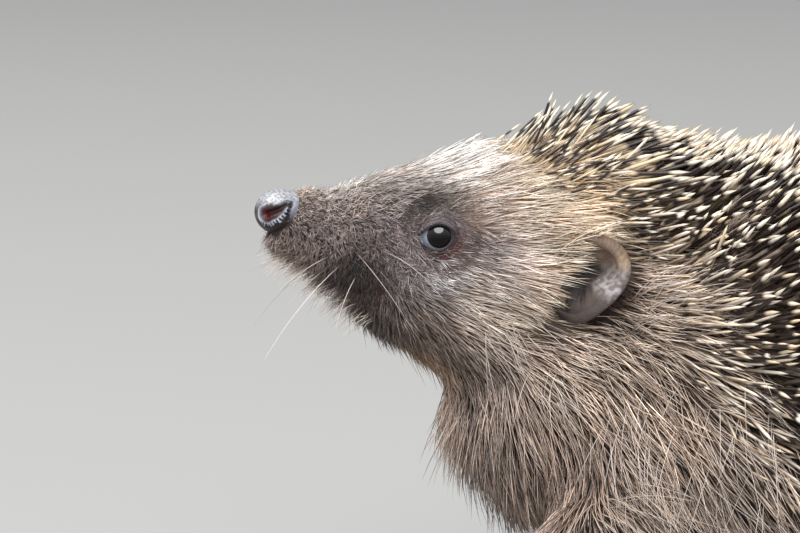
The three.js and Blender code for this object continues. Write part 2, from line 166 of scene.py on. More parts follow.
# On the head: place as back, left, up from the middle of the nose, and flow along the same axes.
HEAD_HAIR = [
    # behind the nose and along the bridge
    ((4, 0, 4.6), (1, 0, 0.2), 1.2, 26, 0.14, "#6c574b", "#f3dbcb"),
    ((5, 4.6, 0), (1, 0.2, -0.4), 1, 28, 0.118, "#2b201e", "#d2bbb1"),
    ((8.5, 0, 5.2), (1, 0, 0.2), 2, 24, 0.13, "#86736a", "#fffaf4"),
    ((12, 0, 5), (1, 0, 0.15), 2.8, 20, 0.134, "#8c7467", "#fffff8"),
    ((13, 6, 2), (1, 0.1, -0.25), 1.8, 24, 0.126, "#352928", "#dac4bb"),
    ((20, 0, 8), (1, 0, 0.22), 5, 13, 0.21, "#d6bcab", "#fffaf6"),
    ((20, 7.5, 3.5), (1, 0.1, 0.05), 3.4, 18, 0.17, "#4b3c37", "#d4c5bc"),
    # muzzle, lips and chin: low on the muzzle and on the chin the hair's own dark brown is painted darker
    # still, as the shade under the head
    ((9, 7, -3), (0.5, 0.1, -1), 1.5, 42, 0.126, "#241a19", "#cab6ad"),
    ((16, 9, -5), (0.6, 0.1, -1), 1.7, 40, 0.126, "#211716", "#aa958d"),
    ((13, 8.6, -8.5), (0.4, 0.1, -1), 1.7, 40, 0.126, "#0a0504", "#2c211e"),
    ((15, 9, -11), (0.4, 0.1, -1), 1.9, 40, 0.134, "#0d0706", "#382a25"),
    ((4, 3.5, -8), (-0.9, 0.3, -0.8), 2.6, 46, 0.15, "#221714", "#af988b"),
    ((9, 5.5, -13.5), (-0.8, 0.2, -0.9), 3.2, 48, 0.15, "#140c09", "#493b34"),
    ((10, 0, -18), (-1, 0, -0.8), 4.2, 46, 0.16, "#1c110d", "#6d5c4f"),
    ((17, 5, -22), (-0.4, 0, -1), 4.2, 34, 0.18, "#140c09", "#5a473f"),
    # round the eye
    ((20, 10.5, -2.5), (1, 0.1, -0.1), 1.8, 18, 0.118, "#3c2f31", "#b9a5a8"),
    ((22, 11, -7), (0.7, 0.1, -0.8), 2, 22, 0.126, "#35292a", "#d3bdbf"),
    # the brow: dark roots and dull tips, painted as the shade in the crease above the eye
    ((26.5, 8.9, 2.2), (1, 0.15, 0.35), 4, 20, 0.18, "#1b120f", "#9d8b82"),
    ((30.5, 12, 0.9), (1, 0.15, 0.45), 3.4, 24, 0.17, "#150d0b", "#77655e"),
    ((36.5, 13.5, 2), (1, 0.2, 0.15), 7, 12, 0.19, "#cda998", "#fff0e3"),
    ((36, 12.3, 4.6), (1, 0.15, 0.2), 8.5, 11, 0.2, "#fddcc4", "#fff9f0"),
    ((41, 16.3, 1.6), (1, 0.2, 0.05), 8, 12, 0.21, "#d2b097", "#fff3de"),
    ((34.5, 15, -5), (1, 0.2, -0.25), 4, 16, 0.17, "#2c2021", "#ac9a98"),
    ((38.5, 17.5, -8), (1, 0.25, -0.25), 6, 11, 0.2, "#bba59e", "#fff4ee"),
    ((28, 14, -10), (0.9, 0.2, -0.45), 3.4, 20, 0.17, "#7b6866", "#ffffff"),
    # forehead and temples
    ((30, 0, 11.5), (1, 0, 0.3), 7, 9, 0.26, "#fff6ee", "#fffdfa"),
    ((32, 7.5, 7.5), (1, 0.1, 0.22), 7, 9, 0.25, "#fff0e4", "#fffdfa"),
    ((40, 13, 5), (1, 0.2, 0.1), 9, 12, 0.22, "#d4ac8c", "#fff0d8"),
    ((42, 0, 16.5), (1, 0, 0.45), 10, 22, 0.26, "#b98f66", "#ffeacb"),
    ((50, 17, 6), (1, 0.25, 0.12), 11, 17, 0.26, "#c69b72", "#ffe5c3"),
    # cheeks and jaw
    ((33, 16, -15), (1, 0.3, -0.3), 7.5, 14, 0.21, "#b5927e", "#fff3e6"),
    ((42, 22, -9), (1, 0.35, -0.08), 9.5, 12, 0.23, "#f8d6c2", "#fff7e9"),
    ((41, 21, -18), (1, 0.3, -0.22), 10, 14, 0.24, "#ad8d7a", "#fff1dc"),
    ((26, 12, -20), (0.8, 0.2, -0.7), 5, 26, 0.2, "#2f2117", "#ae9687"),
    ((24, 5, -29), (0, 0.1, -1), 6.5, 34, 0.21, "#4c3930", "#e9c6a6"),
    ((38, 15, -28), (0.9, 0.2, -0.75), 9, 24, 0.24, "#5b463d", "#ecd5c4"),
    ((47, 24, -3), (1, 0.3, -0.02), 11, 16, 0.24, "#d8b08c", "#fff1d6"),
    ((46, 25, -11), (1, 0.35, -0.1), 11, 16, 0.24, "#fad1a9", "#fff2d8"),
    ((48, 25, -20), (1, 0.25, -0.4), 10.5, 20, 0.25, "#765d51", "#fbe5d3"),
    # behind and below the ear
    ((63, 27, -10), (1, 0.2, -0.35), 9.5, 24, 0.24, "#6f564a", "#fbe4cf"),
    ((58, 27, -24), (0.9, 0.2, -0.65), 11.5, 24, 0.27, "#534037", "#e6d1bd"),
    # throat
    ((31, 0, -36), (-0.1, 0, -1), 10, 32, 0.22, "#64524b", "#f3dac8"),
    ((40, 12, -38), (0.3, 0.2, -1), 11.5, 27, 0.24, "#50423b", "#c2ae9f"),
    ((50, 22, -38), (0.7, 0.2, -0.9), 12.5, 23, 0.24, "#534138", "#e0c6b2"),
]
# On the body: place and flow along the model's own axes. Y is given for the right side.
BODY_HAIR = [
    ((-80, 0, 48), (-0.55, 0, -1), 12, 34, 0.22, "#423631", "#8e7e73"),
    ((-66, 30, 52), (0.25, 0.2, -1), 13, 23, 0.23, "#534139", "#cfb5a3"),
    ((-50, 44, 60), (0.75, 0.1, -0.75), 13, 24, 0.26, "#675245", "#fde3cc"),
    ((-66, 0, 28), (-0.2, 0, -1), 9, 30, 0.4, "#5f5049", "#cab7ab"),
    ((-30, 54, 42), (0.6, 0.1, -0.9), 13, 24, 0.38, "#5a4a40", "#dcc5b1"),
    ((10, 58, 36), (0.6, 0, -0.9), 13, 24, 0.42, "#5d4b40", "#d5bda9"),
    ((60, 54, 36), (0.6, -0.1, -0.9), 12, 24, 0.42, "#5d4b40", "#d5bda9"),
    ((-30, 0, 21), (1, 0, 0), 8, 20, 0.5, "#64534a", "#c2b0a4"),
    ((25, 0, 20), (1, 0, 0), 8, 20, 0.5, "#64534a", "#c2b0a4"),
    ((75, 0, 24), (1, 0, 0.1), 8, 20, 0.5, "#5c4d44", "#b5a297"),
    ((100, 20, 38), (0.6, 0, -0.8), 9, 24, 0.42, "#524239", "#b9a392"),
    ((104, 0, 34), (0.9, 0, -0.5), 3, 22, 0.3, "#3b302c", "#a08e86"),
    ((-62, 40, 30), (0.3, 0.1, -1), 6.5, 24, 0.36, "#42352f", "#a38f82"),
    ((-64, 34, 14), (0, 0, -1), 3, 22, 0.28, "#392c29", "#857269"),
    ((72, 46, 28), (0.3, 0.1, -1), 6.5, 24, 0.36, "#42352f", "#a38f82"),
    ((78, 38, 14), (0, 0, -1), 3, 22, 0.28, "#2f2421", "#917c72"),
    ((-75, 32, 4), (-1, 0, -0.2), 1.5, 20, 0.24, "#3c2f2b", "#7d6a61"),
    ((65, 37, 4), (-1, 0, -0.2), 1.5, 20, 0.24, "#312623", "#88736a"),
]
# The spines, along the model's own axes: their colours are those of the base and of the tip.
SPINES = [
    ((-70, 0, 112), (1, 0, 0.7), 17, 40, 0.68, "#f0dcbc", "#fcf4e4"),
    ((-60, 20, 104), (1, 0.12, 0.4), 17, 32, 0.7, "#d8c19e", "#faf0de"),
    ((-48, 0, 112), (1, 0, 0.55), 16.5, 60, 0.78, "#c7b299", "#fbf0e1"),
    ((-42, 28, 97), (1, 0.1, 0.12), 16, 40, 0.78, "#ae9b8a", "#fbf0e1"),
    ((-42, 36, 84), (1, 0.15, -0.35), 18, 26, 0.78, "#847468", "#ebdece"),
    ((-34, 50, 60), (0.9, 0.1, -0.55), 18, 26, 0.8, "#786a5e", "#e9dccc"),
    ((-20, 0, 112), (1, 0, 0.5), 18, 60, 0.82, "#9d8c7c", "#fbf0e2"),
    ((-12, 40, 98), (1, 0.1, 0.15), 18.5, 50, 0.82, "#7e7063", "#ede3d6"),
    ((-8, 52, 80), (1, 0.1, -0.35), 19.5, 36, 0.82, "#847468", "#ebe0d1"),
    ((0, 64, 56), (0.9, 0.05, -0.65), 19, 28, 0.82, "#7c6d61", "#e9dccc"),
    ((35, 0, 117), (1, 0, 0.3), 19, 55, 0.85, "#978677", "#fbf0e2"),
    ((40, 50, 90), (1, 0.1, -0.1), 20, 46, 0.85, "#928174", "#f9eddd"),
    ((40, 66, 54), (0.85, 0, -0.6), 19, 30, 0.82, "#89796c", "#f6e9d8"),
    ((85, 0, 104), (0.9, 0, -0.4), 22, 40, 0.85, "#928174", "#f9eddd"),
    ((90, 40, 75), (0.8, 0.25, -0.6), 21, 36, 0.85, "#928174", "#f9eddd"),
    ((112, 0, 70), (0.5, 0, -0.9), 20, 34, 0.82, "#89796c", "#f6e9d8"),
    ((100, 30, 48), (0.6, 0.15, -0.85), 18, 30, 0.82, "#89796c", "#f6e9d8"),
]
# The front edge of the spines, seen from the side: X at each height Z, and their lower edge
SPINE_EDGE_Z = (41, 46, 53, 64, 79, 86, 95, 104, 110, 118)
SPINE_EDGE_X = (5, -16, -31, -39, -45, -48, -56, -70, -78, -80)
SPINE_LOW = 42.0
LOW_EDGE_WEIGHT = 1.5  # how much faster spines take over upward than backward

FLOW, LENGTH, LIFT, WIDTH, ROOT, TIP = slice(0, 3), 3, 4, 5, slice(6, 9), slice(9, 12)


def guides(table, place_at, way_along):
    """The rows' places and values, also mirrored to the other side unless they lie in the middle."""
    for (along, aside, up), (flow_along, flow_aside, flow_up), length, lift, width, root, tip in table:
        for side in (1, -1) if aside else (1,):
            flow = unit(way_along(flow_along, side * flow_aside, flow_up))
            yield (place_at(along, side * aside, up),
                   [*flow, length, math.radians(lift), width, *linear(root), *linear(tip)])


def field(rows, softness=3.0, power=4, batch=20000):
    """A function that blends the rows' values by their places' nearness to any points."""
    places, values = map(np.array, zip(*rows))

    def values_at(points):
        result = np.empty((len(points), values.shape[1]))
        for start in range(0, len(points), batch):
            some = points[start:start + batch]
            away = ((some[:, None] - places[None]) ** 2).sum(-1) + softness ** 2
            weights = away ** (-power / 2)
            result[start:start + batch] = (weights / weights.sum(1, keepdims=True)) @ values
        return result
    return values_at


hair_at = field([*guides(HEAD_HAIR, from_nose, head_direction), *guides(BODY_HAIR, body_axes, body_axes)])
spines_at = field(guides(SPINES, body_axes, body_axes), softness=8.0)


def spininess(points):
    """How far inside the spiny coat each point is, in mm, and negative outside it."""
    edge = np.interp(points[:, 2], SPINE_EDGE_Z, SPINE_EDGE_X)
    return np.minimum(points[:, 0] - edge, LOW_EDGE_WEIGHT * (points[:, 2] - SPINE_LOW))


CROWN_WIDTH = 20.0


def crown_share(points, middle, low, high):
    """1 where the spines stand up behind the forehead, near X = middle and above high, and 0 elsewhere."""
    return bell(points[:, 0], CROWN_WIDTH, middle) * smoothstep(low, high, points[:, 2])


# Shares of the height of straight hairs and spines that their tips reach
HAIR_REACH, SPINE_REACH, LESS_ON_CROWN = 0.95, 1.08, 0.42


def coat_depth(points):
    """How far the tips of the coat stand above the skin."""
    hair, spines = hair_at(points), spines_at(points)
    hair_depth = HAIR_REACH * hair[:, LENGTH] * np.sin(hair[:, LIFT])
    spine_reach = SPINE_REACH - LESS_ON_CROWN * crown_share(points, -58, 92, 106)
    spine_depth = spine_reach * spines[:, LENGTH] * np.sin(spines[:, LIFT])
    share = smoothstep(-4, 10, spininess(points))
    return hair_depth * (1 - share) + spine_depth * share


# Mesh making

def make_object(name, vertices, faces, colours=None, uv=None, extra=None):
    """A smooth-shaded object from vertices in mm and faces, an array with one row per face."""
    corners = faces.ravel().astype(np.int32)
    mesh = bpy.data.meshes.new(name)
    mesh.vertices.add(len(vertices))
    mesh.vertices.foreach_set("co", (vertices * MM).astype(np.float32).ravel())
    mesh.loops.add(len(corners))
    mesh.loops.foreach_set("vertex_index", corners)
    mesh.polygons.add(len(faces))
    mesh.polygons.foreach_set("loop_start", np.arange(0, len(corners), faces.shape[1], dtype=np.int32))
    mesh.polygons.foreach_set("use_smooth", np.ones(len(faces), dtype=bool))
    mesh.update(calc_edges=True)
    for label, values in {"tint": colours, **(extra or {})}.items():
        if values is None:
            continue
        rgba = np.concatenate([values, np.ones((len(values), 1))], axis=1).astype(np.float32)
        layer = mesh.color_attributes.new(name=label, type="FLOAT_COLOR", domain="POINT")
        layer.data.foreach_set("color", rgba.ravel())
    if uv is not None:
        layer = mesh.uv_layers.new(name="OFBake")
        layer.data.foreach_set("uv", uv[corners].astype(np.float32).ravel())
    obj = bpy.data.objects.new(name, mesh)
    bpy.context.scene.collection.objects.link(obj)
    return obj


def mesh_arrays(mesh):
    vertices = np.empty(len(mesh.vertices) * 3, dtype=np.float32)
    mesh.vertices.foreach_get("co", vertices)
    mesh.calc_loop_triangles()
    triangles = np.empty(len(mesh.loop_triangles) * 3, dtype=np.int32)
    mesh.loop_triangles.foreach_get("vertices", triangles)
    return vertices.reshape(-1, 3).astype(float) / MM, triangles.reshape(-1, 3)


def face_crosses(vertices, triangles):
    """For each triangle a vector along its normal, as long as twice its area."""
    a, b, c = (vertices[triangles[:, i]] for i in range(3))
    return np.cross(b - a, c - a)


def vertex_normals(vertices, triangles):
    face = face_crosses(vertices, triangles)
    total = np.zeros_like(vertices)
    for i in range(3):
        for axis in range(3):
            total[:, axis] += np.bincount(triangles[:, i], face[:, axis], len(vertices))
    return unit(total)


def edges_of(triangles):
    pairs = np.concatenate([triangles[:, [0, 1]], triangles[:, [1, 2]], triangles[:, [2, 0]]])
    return np.unique(np.sort(pairs, axis=1), axis=0)


def smoothed(values, edges, rounds):
    """Values on the vertices, averaged with their neighbours."""
    count = np.bincount(edges.ravel(), minlength=len(values))[:, None]
    for _ in range(rounds):
        total = np.zeros_like(values)
        for axis in range(values.shape[1]):
            total[:, axis] = (np.bincount(edges[:, 0], values[edges[:, 1], axis], len(values))
                              + np.bincount(edges[:, 1], values[edges[:, 0], axis], len(values)))
        values = 0.5 * values + 0.5 * total / np.maximum(count, 1)
    return values


def largest_island(vertices, triangles):
    """The part of a mesh that hangs together and has the most vertices."""
    labels = np.arange(len(vertices))
    edges = edges_of(triangles)
    while True:
        low = np.minimum(labels[edges[:, 0]], labels[edges[:, 1]])
        new = labels.copy()
        np.minimum.at(new, edges[:, 0], low)
        np.minimum.at(new, edges[:, 1], low)
        new = new[new]
        if np.array_equal(new, labels):
            break
        labels = new
    keep = labels == np.bincount(labels).argmax()
    renumber = np.cumsum(keep) - 1
    return vertices[keep], renumber[triangles[keep[triangles].all(1)]]


def remeshed(vertices, triangles, voxel):
    """The outer surface of closed meshes, however they overlap, as one even mesh."""
    obj = make_object("remesh_source", vertices, triangles)
    modifier = obj.modifiers.new("voxels", "REMESH")
    modifier.mode = "VOXEL"
    modifier.voxel_size = voxel * MM
    result = obj.evaluated_get(bpy.context.evaluated_depsgraph_get())
    arrays = mesh_arrays(result.to_mesh())
    result.to_mesh_clear()
    source = obj.data
    bpy.data.objects.remove(obj)
    bpy.data.meshes.remove(source)
    return largest_island(*arrays)


def grid_faces(rows, columns):
    """Quads between neighbouring rows of points, each row a closed ring."""
    row, column = np.meshgrid(np.arange(rows - 1), np.arange(columns), indexing="ij")
    here, there = row * columns + column, row * columns + (column + 1) % columns
    return np.stack([here, there, there + columns, here + columns], axis=-1).reshape(-1, 4)


def split_quads(quads):
    return np.concatenate([quads[:, [0, 1, 2]], quads[:, [0, 2, 3]]])


def closed_tube(rows, columns):
    """Triangles of a tube of rings whose ends are closed with fans to its last two vertices."""
    around = np.arange(columns)
    first_end, last_end = rows * columns, rows * columns + 1
    last_row = (rows - 1) * columns
    return np.concatenate([
        split_quads(grid_faces(rows, columns)),
        np.stack([np.roll(around, -1), around, np.full(columns, first_end)], axis=1),
        np.stack([last_row + around, last_row + np.roll(around, -1), np.full(columns, last_end)], axis=1)])


def outside_out(triangles, side):
    """Triangles turned over on the left, so that they face outward on both sides."""
    return triangles[:, ::-1] if SIDES[side] > 0 else triangles


def on_path(points, path):
    """How far points are from a path of straight lines, and how far along it that is, from 0 to 1."""
    best, shares = np.full(len(points), np.inf), np.zeros(len(points))
    for index, (start, end) in enumerate(zip(path[:-1], path[1:])):
        line = end - start
        share = np.clip((points - start) @ line / (line @ line), 0, 1)
        away = np.linalg.norm(points - start - share[:, None] * line, axis=1)
        nearer = away < best
        best[nearer], shares[nearer] = away[nearer], (index + share[nearer]) / (len(path) - 1)
    return best, shares


def near_path(points, path):
    return on_path(points, path)[0]


def soft_max(a, b, softness):
    return (a + b + np.sqrt((a - b) ** 2 + softness ** 2)) / 2


def surface_height(tree, places, outward, reach=14.0):
    """How far along outward from each place the skin lies, and not a number where it isn't met."""
    direction = Vector(outward)
    heights = []
    for place in places.reshape(-1, 3):
        hit = tree.ray_cast(Vector(place + reach * outward), -direction)
        heights.append(reach - hit[3] if hit[0] is not None else np.nan)
    return np.array(heights).reshape(places.shape[:-1])


def fitted_surface(p, q, heights, known):
    """A smooth bowl over p and q through the known heights, read off at every p and q."""
    terms = np.stack([np.ones_like(p), p, q, p * p, p * q, q * q], axis=-1)
    return terms @ np.linalg.lstsq(terms[known], heights[known], rcond=None)[0]


# Skin

FLESH = ("head", "lower_jaw", "neck", "trunk_mantle", "trunk_belly", "tail",
         *(f"leg_{foot}" for foot in FEET), *(f"foot_{foot}" for foot in FEET))
SEAM_SWELL = 0.45  # closes the thin cuts between the solids
COARSE, FINE = 1.3, 1.0  # mesh sizes of the skin
SINK_STEPS = 6  # in which the skin sinks under the coat
DEEP_COAT = (1.5, 6)  # depths between which the sinking skin is smoothed more and more
# The end of the muzzle, under and behind the nose: middles and radii of its rounded forms
MUZZLE_END = ((from_nose(0.9, 0.0, -4.7), (3.3, 4.1, 2.8)), (from_nose(5.6, 0.0, 0.6), (4.3, 4.1, 3.9)))


def ball(middle, radii, rings=24):
    """A closed ellipsoid, with its radii along the head's axes."""
    polar = np.linspace(0, np.pi, rings)[:, None]
    turn = turns(2 * rings)[None]
    ways = np.stack(np.broadcast_arrays(np.sin(polar) * np.cos(turn), np.sin(polar) * np.sin(turn),
                                        np.cos(polar)), axis=-1).reshape(-1, 3)
    vertices = middle + (ways * radii) @ np.array([BACK, LEFT, UP])
    return vertices, split_quads(grid_faces(rings, 2 * rings))


def joined(meshes):
    """Vertices and triangles of several meshes as one."""
    vertices, triangles, count = [], [], 0
    for some, faces in meshes:
        vertices.append(some)
        triangles.append(faces + count)
        count += len(some)
    return np.concatenate(vertices), np.concatenate(triangles)


def swollen_solid(node):
    vertices, triangles = mesh_arrays(bpy.data.objects[node].data)
    return vertices + SEAM_SWELL * vertex_normals(vertices, triangles), triangles


def body_skin():
    """The solids as one skin, sunk by the coat's depth, and a tree of the coat's outline."""
    solids = joined(swollen_solid(node) for node in (*FLESH, "nose", "eye_left", "eye_right"))
    vertices, triangles = remeshed(*solids, COARSE)
    edges = edges_of(triangles)
    vertices = smoothed(vertices, edges, rounds=2)
    outline = BVHTree.FromPolygons(vertices.tolist(), triangles.tolist())
    depth = coat_depth(vertices) + SEAM_SWELL
    loose = smoothstep(*DEEP_COAT, depth)[:, None]
    for _ in range(SINK_STEPS):
        normals = unit(smoothed(vertex_normals(vertices, triangles), edges, rounds=3))
        vertices = vertices - normals * (depth / SINK_STEPS)[:, None]
        vertices = vertices * (1 - loose) + smoothed(vertices, edges, rounds=2) * loose
    muzzle = (ball(*form) for form in MUZZLE_END)
    vertices, triangles = remeshed(*joined([(vertices, triangles), *muzzle]), FINE)
    vertices = smoothed(vertices, edges_of(triangles), rounds=3)
    vertices[:, 2] = np.maximum(vertices[:, 2], 0.0)
    return vertices, triangles, outline


# Eyelids: a ring of skin round each eye, from the lips of the lids out to where it meets the head

EYEBALL = EYE_RADIUS * 0.985
EYE_OUTWARD = (-0.22, 0.95, 0.08)
IRIS = 2.28  # radius of the dark part
LID_OPENING = 2.3  # from the middle of the eye to the lips of the lids
FRONT_CORNER, FRONT_SLANT = 1.3, math.radians(-6)
BACK_CORNER = 0.3
UPPER_COVER = 0.28  # how far the upper lid comes down over the dark part
LOW_OPENING, LOW_SLANT = 0.2, math.radians(-40)  # where the rim of the eye shows, low in front
LID_THICKNESS = 0.62
LID_TUCK = 0.2  # how far the lids reach in over the dark part
LID_FOLD = 0.45  # height of the fold along the upper lid
LID_BITE = 0.12  # how far the lids' inner side lies within the eyeball
LID_DIP = 0.12  # how far the last rings dip under the head's skin
LID_REACH = 8.0
LID_FIT = 5.2  # distance from which the skin round the eye shapes the skin under the lids
LID_RINGS = 44
EYE_SPOKES = 128
EYE_BEHIND, EYE_REGION = -2.0, 12.0  # skin in from the eye's middle, or further from it, isn't round it
ORBIT_RISE = 1.9  # how far the skin swells out round the eye
# Creases round the eye: distance from the lip, depth, width
LID_CREASES = ((0.55, 0.26, 0.12), (1.05, 0.36, 0.15), (1.6, 0.34, 0.17), (2.3, 0.3, 0.22))


def eye_axes(side):
    back, left, up = EYE_OUTWARD
    outward = unit(head_direction(back, SIDES[side] * left, up))
    forward = unit(-BACK + outward * (BACK @ outward))
    upward = unit(UP - outward * (UP @ outward) - forward * (UP @ forward))
    return outward, forward, upward


def eye_place(points, side):
    """Where points lie about an eye: turn from its front corner up, distance from its axis, and height."""
    outward, forward, upward = eye_axes(side)
    away = points - EYES[side]
    p, q = away @ forward, away @ upward
    return np.arctan2(q, p), np.hypot(p, q), away @ outward


def lid_opening(turn):
    return (LID_OPENING + FRONT_CORNER * np.clip(np.cos(turn - FRONT_SLANT), 0, 1) ** 9
            + BACK_CORNER * np.clip(-np.cos(turn), 0, 1) ** 7
            + LOW_OPENING * np.clip(np.cos(turn - LOW_SLANT), 0, 1) ** 2
            - UPPER_COVER * np.clip(np.sin(turn), 0, 1) ** 2)


def lid_rings():
    """Turns round the eye, and for rings of points at them: distance from its axis and from the lips."""
    turn = turns(EYE_SPOKES)
    lip = lid_opening(turn)
    start = np.minimum(IRIS, lip) - LID_TUCK
    inner = [start + share * (lip - start) for share in (0, 0.35, 0.7)]
    outer = [lip + (LID_REACH - lip) * share for share in np.linspace(0, 1, LID_RINGS) ** 1.5]
    radius = np.array([*inner, *outer])
    return turn, radius, radius - lip


def head_under_eye(p, q, radius, heights):
    """The head's form under the eye, from the skin round about it, swelling out toward the lids."""
    met = np.isfinite(heights)
    fitted = fitted_surface(p, q, heights, (radius > LID_FIT) & met)
    swollen = fitted + ORBIT_RISE * (1 - smoothstep(2.5, LID_REACH - 0.4, radius))
    unevenness = np.where(met, heights, fitted) - fitted
    return swollen + unevenness * smoothstep(4.6, 6.4, radius)


def lids_outside(turn, radius, beyond, base):
    """Heights of the lids and the skin round them, with a fold, creases and fine wrinkles."""
    lid_radius = EYEBALL + LID_THICKNESS
    lid = np.sqrt(np.maximum(lid_radius ** 2 - radius ** 2, 0)) - 3 * (radius > lid_radius)
    lid += LID_FOLD * bell(beyond, 0.5, 0.7) * np.clip(np.sin(turn), 0, 1)
    outer = soft_max(lid, base, 0.7)
    wobble = 0.2 * np.sin(3 * turn) + 0.12 * np.sin(7 * turn + 1)
    fade = 0.35 + 0.65 * np.abs(np.sin(turn))
    for distance, depth, width in LID_CREASES:
        broken = 0.55 + 0.45 * np.sin(5 * turn + 9 * distance)
        outer -= depth * fade * broken * bell(beyond, width, distance * (1 + 0.5 * wobble))
    outer += 0.07 * np.sin(23 * turn + 5 * np.sin(2 * beyond)) * bell(beyond, 0.9, 1.5)
    outer += 0.06 * np.sin(34 * turn + 2 * np.sin(3 * turn)) * bell(beyond, 0.35, 0.4)
    return outer


def lids(side, tree):
    """A ring of skin from inside the lips of the lids, close over the eyeball, out to the head's skin."""
    outward, forward, upward = eye_axes(side)
    turn, radius, beyond = lid_rings()
    p, q = radius * np.cos(turn), radius * np.sin(turn)
    flat = EYES[side] + p[..., None] * forward + q[..., None] * upward
    base = head_under_eye(p, q, radius, surface_height(tree, flat, outward))
    outer = lids_outside(turn, radius, beyond, base)
    globe = np.sqrt(np.maximum(EYEBALL ** 2 - radius ** 2, 0))
    inside = soft_max(globe - LID_BITE, base - 0.95, 0.15)
    rise = smoothstep(-0.02, 0.34, beyond)
    height = inside * (1 - rise) + outer * rise
    height -= LID_DIP * smoothstep(6.8, 7.6, radius)
    vertices = (flat + height[..., None] * outward).reshape(-1, 3)
    quads = grid_faces(*radius.shape)
    return vertices, split_quads(outside_out(quads, side))


# Ears: a bare cup with a thick rolled rim, its front edge lying on the cheek

# All round the ear from its upper back edge: turn in degrees, distance of the rim from the middle of
# the ear, how far it stands out from the head, and half the rim's thickness
EAR_RIM = (
    (9, 8.1, 7.6, 1.3), (24, 8.5, 7.4, 1.3), (41, 8.5, 7.0, 1.3), (60, 8.2, 5.4, 1.2),
    (79, 7.8, 2.0, 0.9), (99, 7.4, 0.2, 0.6), (124, 6.6, 0.0, 0.5), (161, 6.4, 0.0, 0.4),
    (199, 7.2, 0.0, 0.4), (223, 8.2, 0.0, 0.5), (240, 8.9, 0.5, 0.7), (257, 9.2, 2.6, 1.0),
    (272, 8.0, 5.0, 1.2), (294, 6.5, 6.7, 1.3), (323, 6.3, 7.3, 1.3), (350, 7.1, 7.6, 1.3),
)
EAR_SHIFT = (0.5, -0.7)  # from the middle of the solid ear, back and up, to the middle of its cup
EAR_SPOKES = 160
CUP_RINGS, ROLL_RINGS, BACK_RINGS = 25, 14, 8
EAR_CUP = 0.6  # how far the bottom of the cup is from the skin
EAR_ROOT = 3.0  # how deep the back of the ear reaches into the head
EAR_LEAN = (-0.1, 0.12)  # how far a point moves back and up for each mm that it stands out
EAR_BEHIND = -14.0  # points further in than this aren't near an ear


def ear_axes(side):
    return BACK, UP, SIDES[side] * LEFT


def ear_rim(turn):
    table = np.array(EAR_RIM)
    degrees = np.degrees(turn) % 360
    return [np.interp(degrees, table[:, 0], table[:, i], period=360) for i in (1, 2, 3)]


def ear_place(points, side):
    """Where points lie about an ear: share of the way to its rim, turn, and whether on its side."""
    back, up, outward = ear_axes(side)
    away = points - EARS[side]
    p, q = away @ back - EAR_SHIFT[0], away @ up - EAR_SHIFT[1]
    turn = np.arctan2(q, p)
    on_side = (away @ outward > EAR_BEHIND) & ((points - NOSE) @ outward > 0)
    return np.hypot(p, q) / ear_rim(turn)[0], turn, on_side


def smooth_round(values, rounds=10):
    """Values along a ring, averaged with their neighbours."""
    for _ in range(rounds):
        values = values / 2 + (np.roll(values, 1, -1) + np.roll(values, -1, -1)) / 4
    return values


def ear_section(turn):
    """Rings of distances from the ear's middle and of heights: up the cup, over the rim, down the back."""
    rim, stand, thick = map(smooth_round, ear_rim(turn))
    middle = rim - thick
    rings = []
    for share in np.linspace(0, 1, CUP_RINGS + 1)[1:]:
        rings.append(((middle - 0.75 * thick) * share,
                      EAR_CUP + (stand - 1.3 * thick - EAR_CUP) * share ** 2.1))
    for bend in np.linspace(-0.3, 1.0, ROLL_RINGS) * np.pi:
        rings.append((middle - thick * np.cos(bend), stand + thick * np.sin(bend)))
    for share in np.linspace(0, 1, BACK_RINGS + 1)[1:]:
        rings.append((rim - 1.4 * share ** 0.7, stand - (stand + EAR_ROOT) * share))
    radius, height = np.array(rings).transpose(1, 0, 2)
    inside = np.clip(radius / middle, 0, 1)
    # Fine ridges run up the cup and over the top of the rim, and wrinkles spread from its floor.
    upper = smoothstep(-0.1, 0.9, np.sin(turn))
    height += 0.07 * np.sin(52 * turn + 3 * np.sin(4 * turn)) * smoothstep(0.3, 0.8, inside) * upper
    height += 0.16 * np.sin(13 * turn + 5 * inside) * bell(inside, 0.25, 0.55)
    return radius, height


def ear(side, tree):
    back, up, outward = ear_axes(side)
    turn = turns(EAR_SPOKES)
    radius, height = ear_section(turn)
    p, q = radius * np.cos(turn) + EAR_SHIFT[0], radius * np.sin(turn) + EAR_SHIFT[1]
    flat = EARS[side] + p[..., None] * back + q[..., None] * up
    skin_height = surface_height(tree, flat, outward)
    base = fitted_surface(p, q, skin_height, np.isfinite(skin_height))
    lean = np.clip(height, 0, None)[..., None]
    vertices = (flat + (base + height)[..., None] * outward
                + EAR_LEAN[0] * lean * back + EAR_LEAN[1] * lean * up)
    centre = vertices[0].mean(0) - 0.05 * outward
    first_ring = np.arange(EAR_SPOKES)
    floor_fan = np.stack([np.full(EAR_SPOKES, radius.size), np.roll(first_ring, -1), first_ring], axis=1)
    triangles = np.concatenate([split_quads(grid_faces(*radius.shape)), floor_fan])
    return np.concatenate([vertices.reshape(-1, 3), centre[None]]), outside_out(triangles, side)


# Mouth: a closed line on each side, in the head's own axes

MOUTH = ((3.4, 4.5, -10.0), (9.2, 6.5, -12.2), (15.8, 9.0, -14.2), (18.9, 10.5, -16.2))
MOUTH_DEPTH, MOUTH_WIDTH = 0.7, 0.9


def from_mouth(points):
    """How far points are from the line of the mouth."""
    return np.minimum(*(near_path(points, [from_nose(back, side * left, up) for back, left, up in MOUTH])
                        for side in SIDES.values()))


SKIN, LID, EAR = range(3)  # kinds of skin
EYE_HOLE = 6.7  # radius of the opening that the lids fill, in the skin no further in than EYE_BEHIND


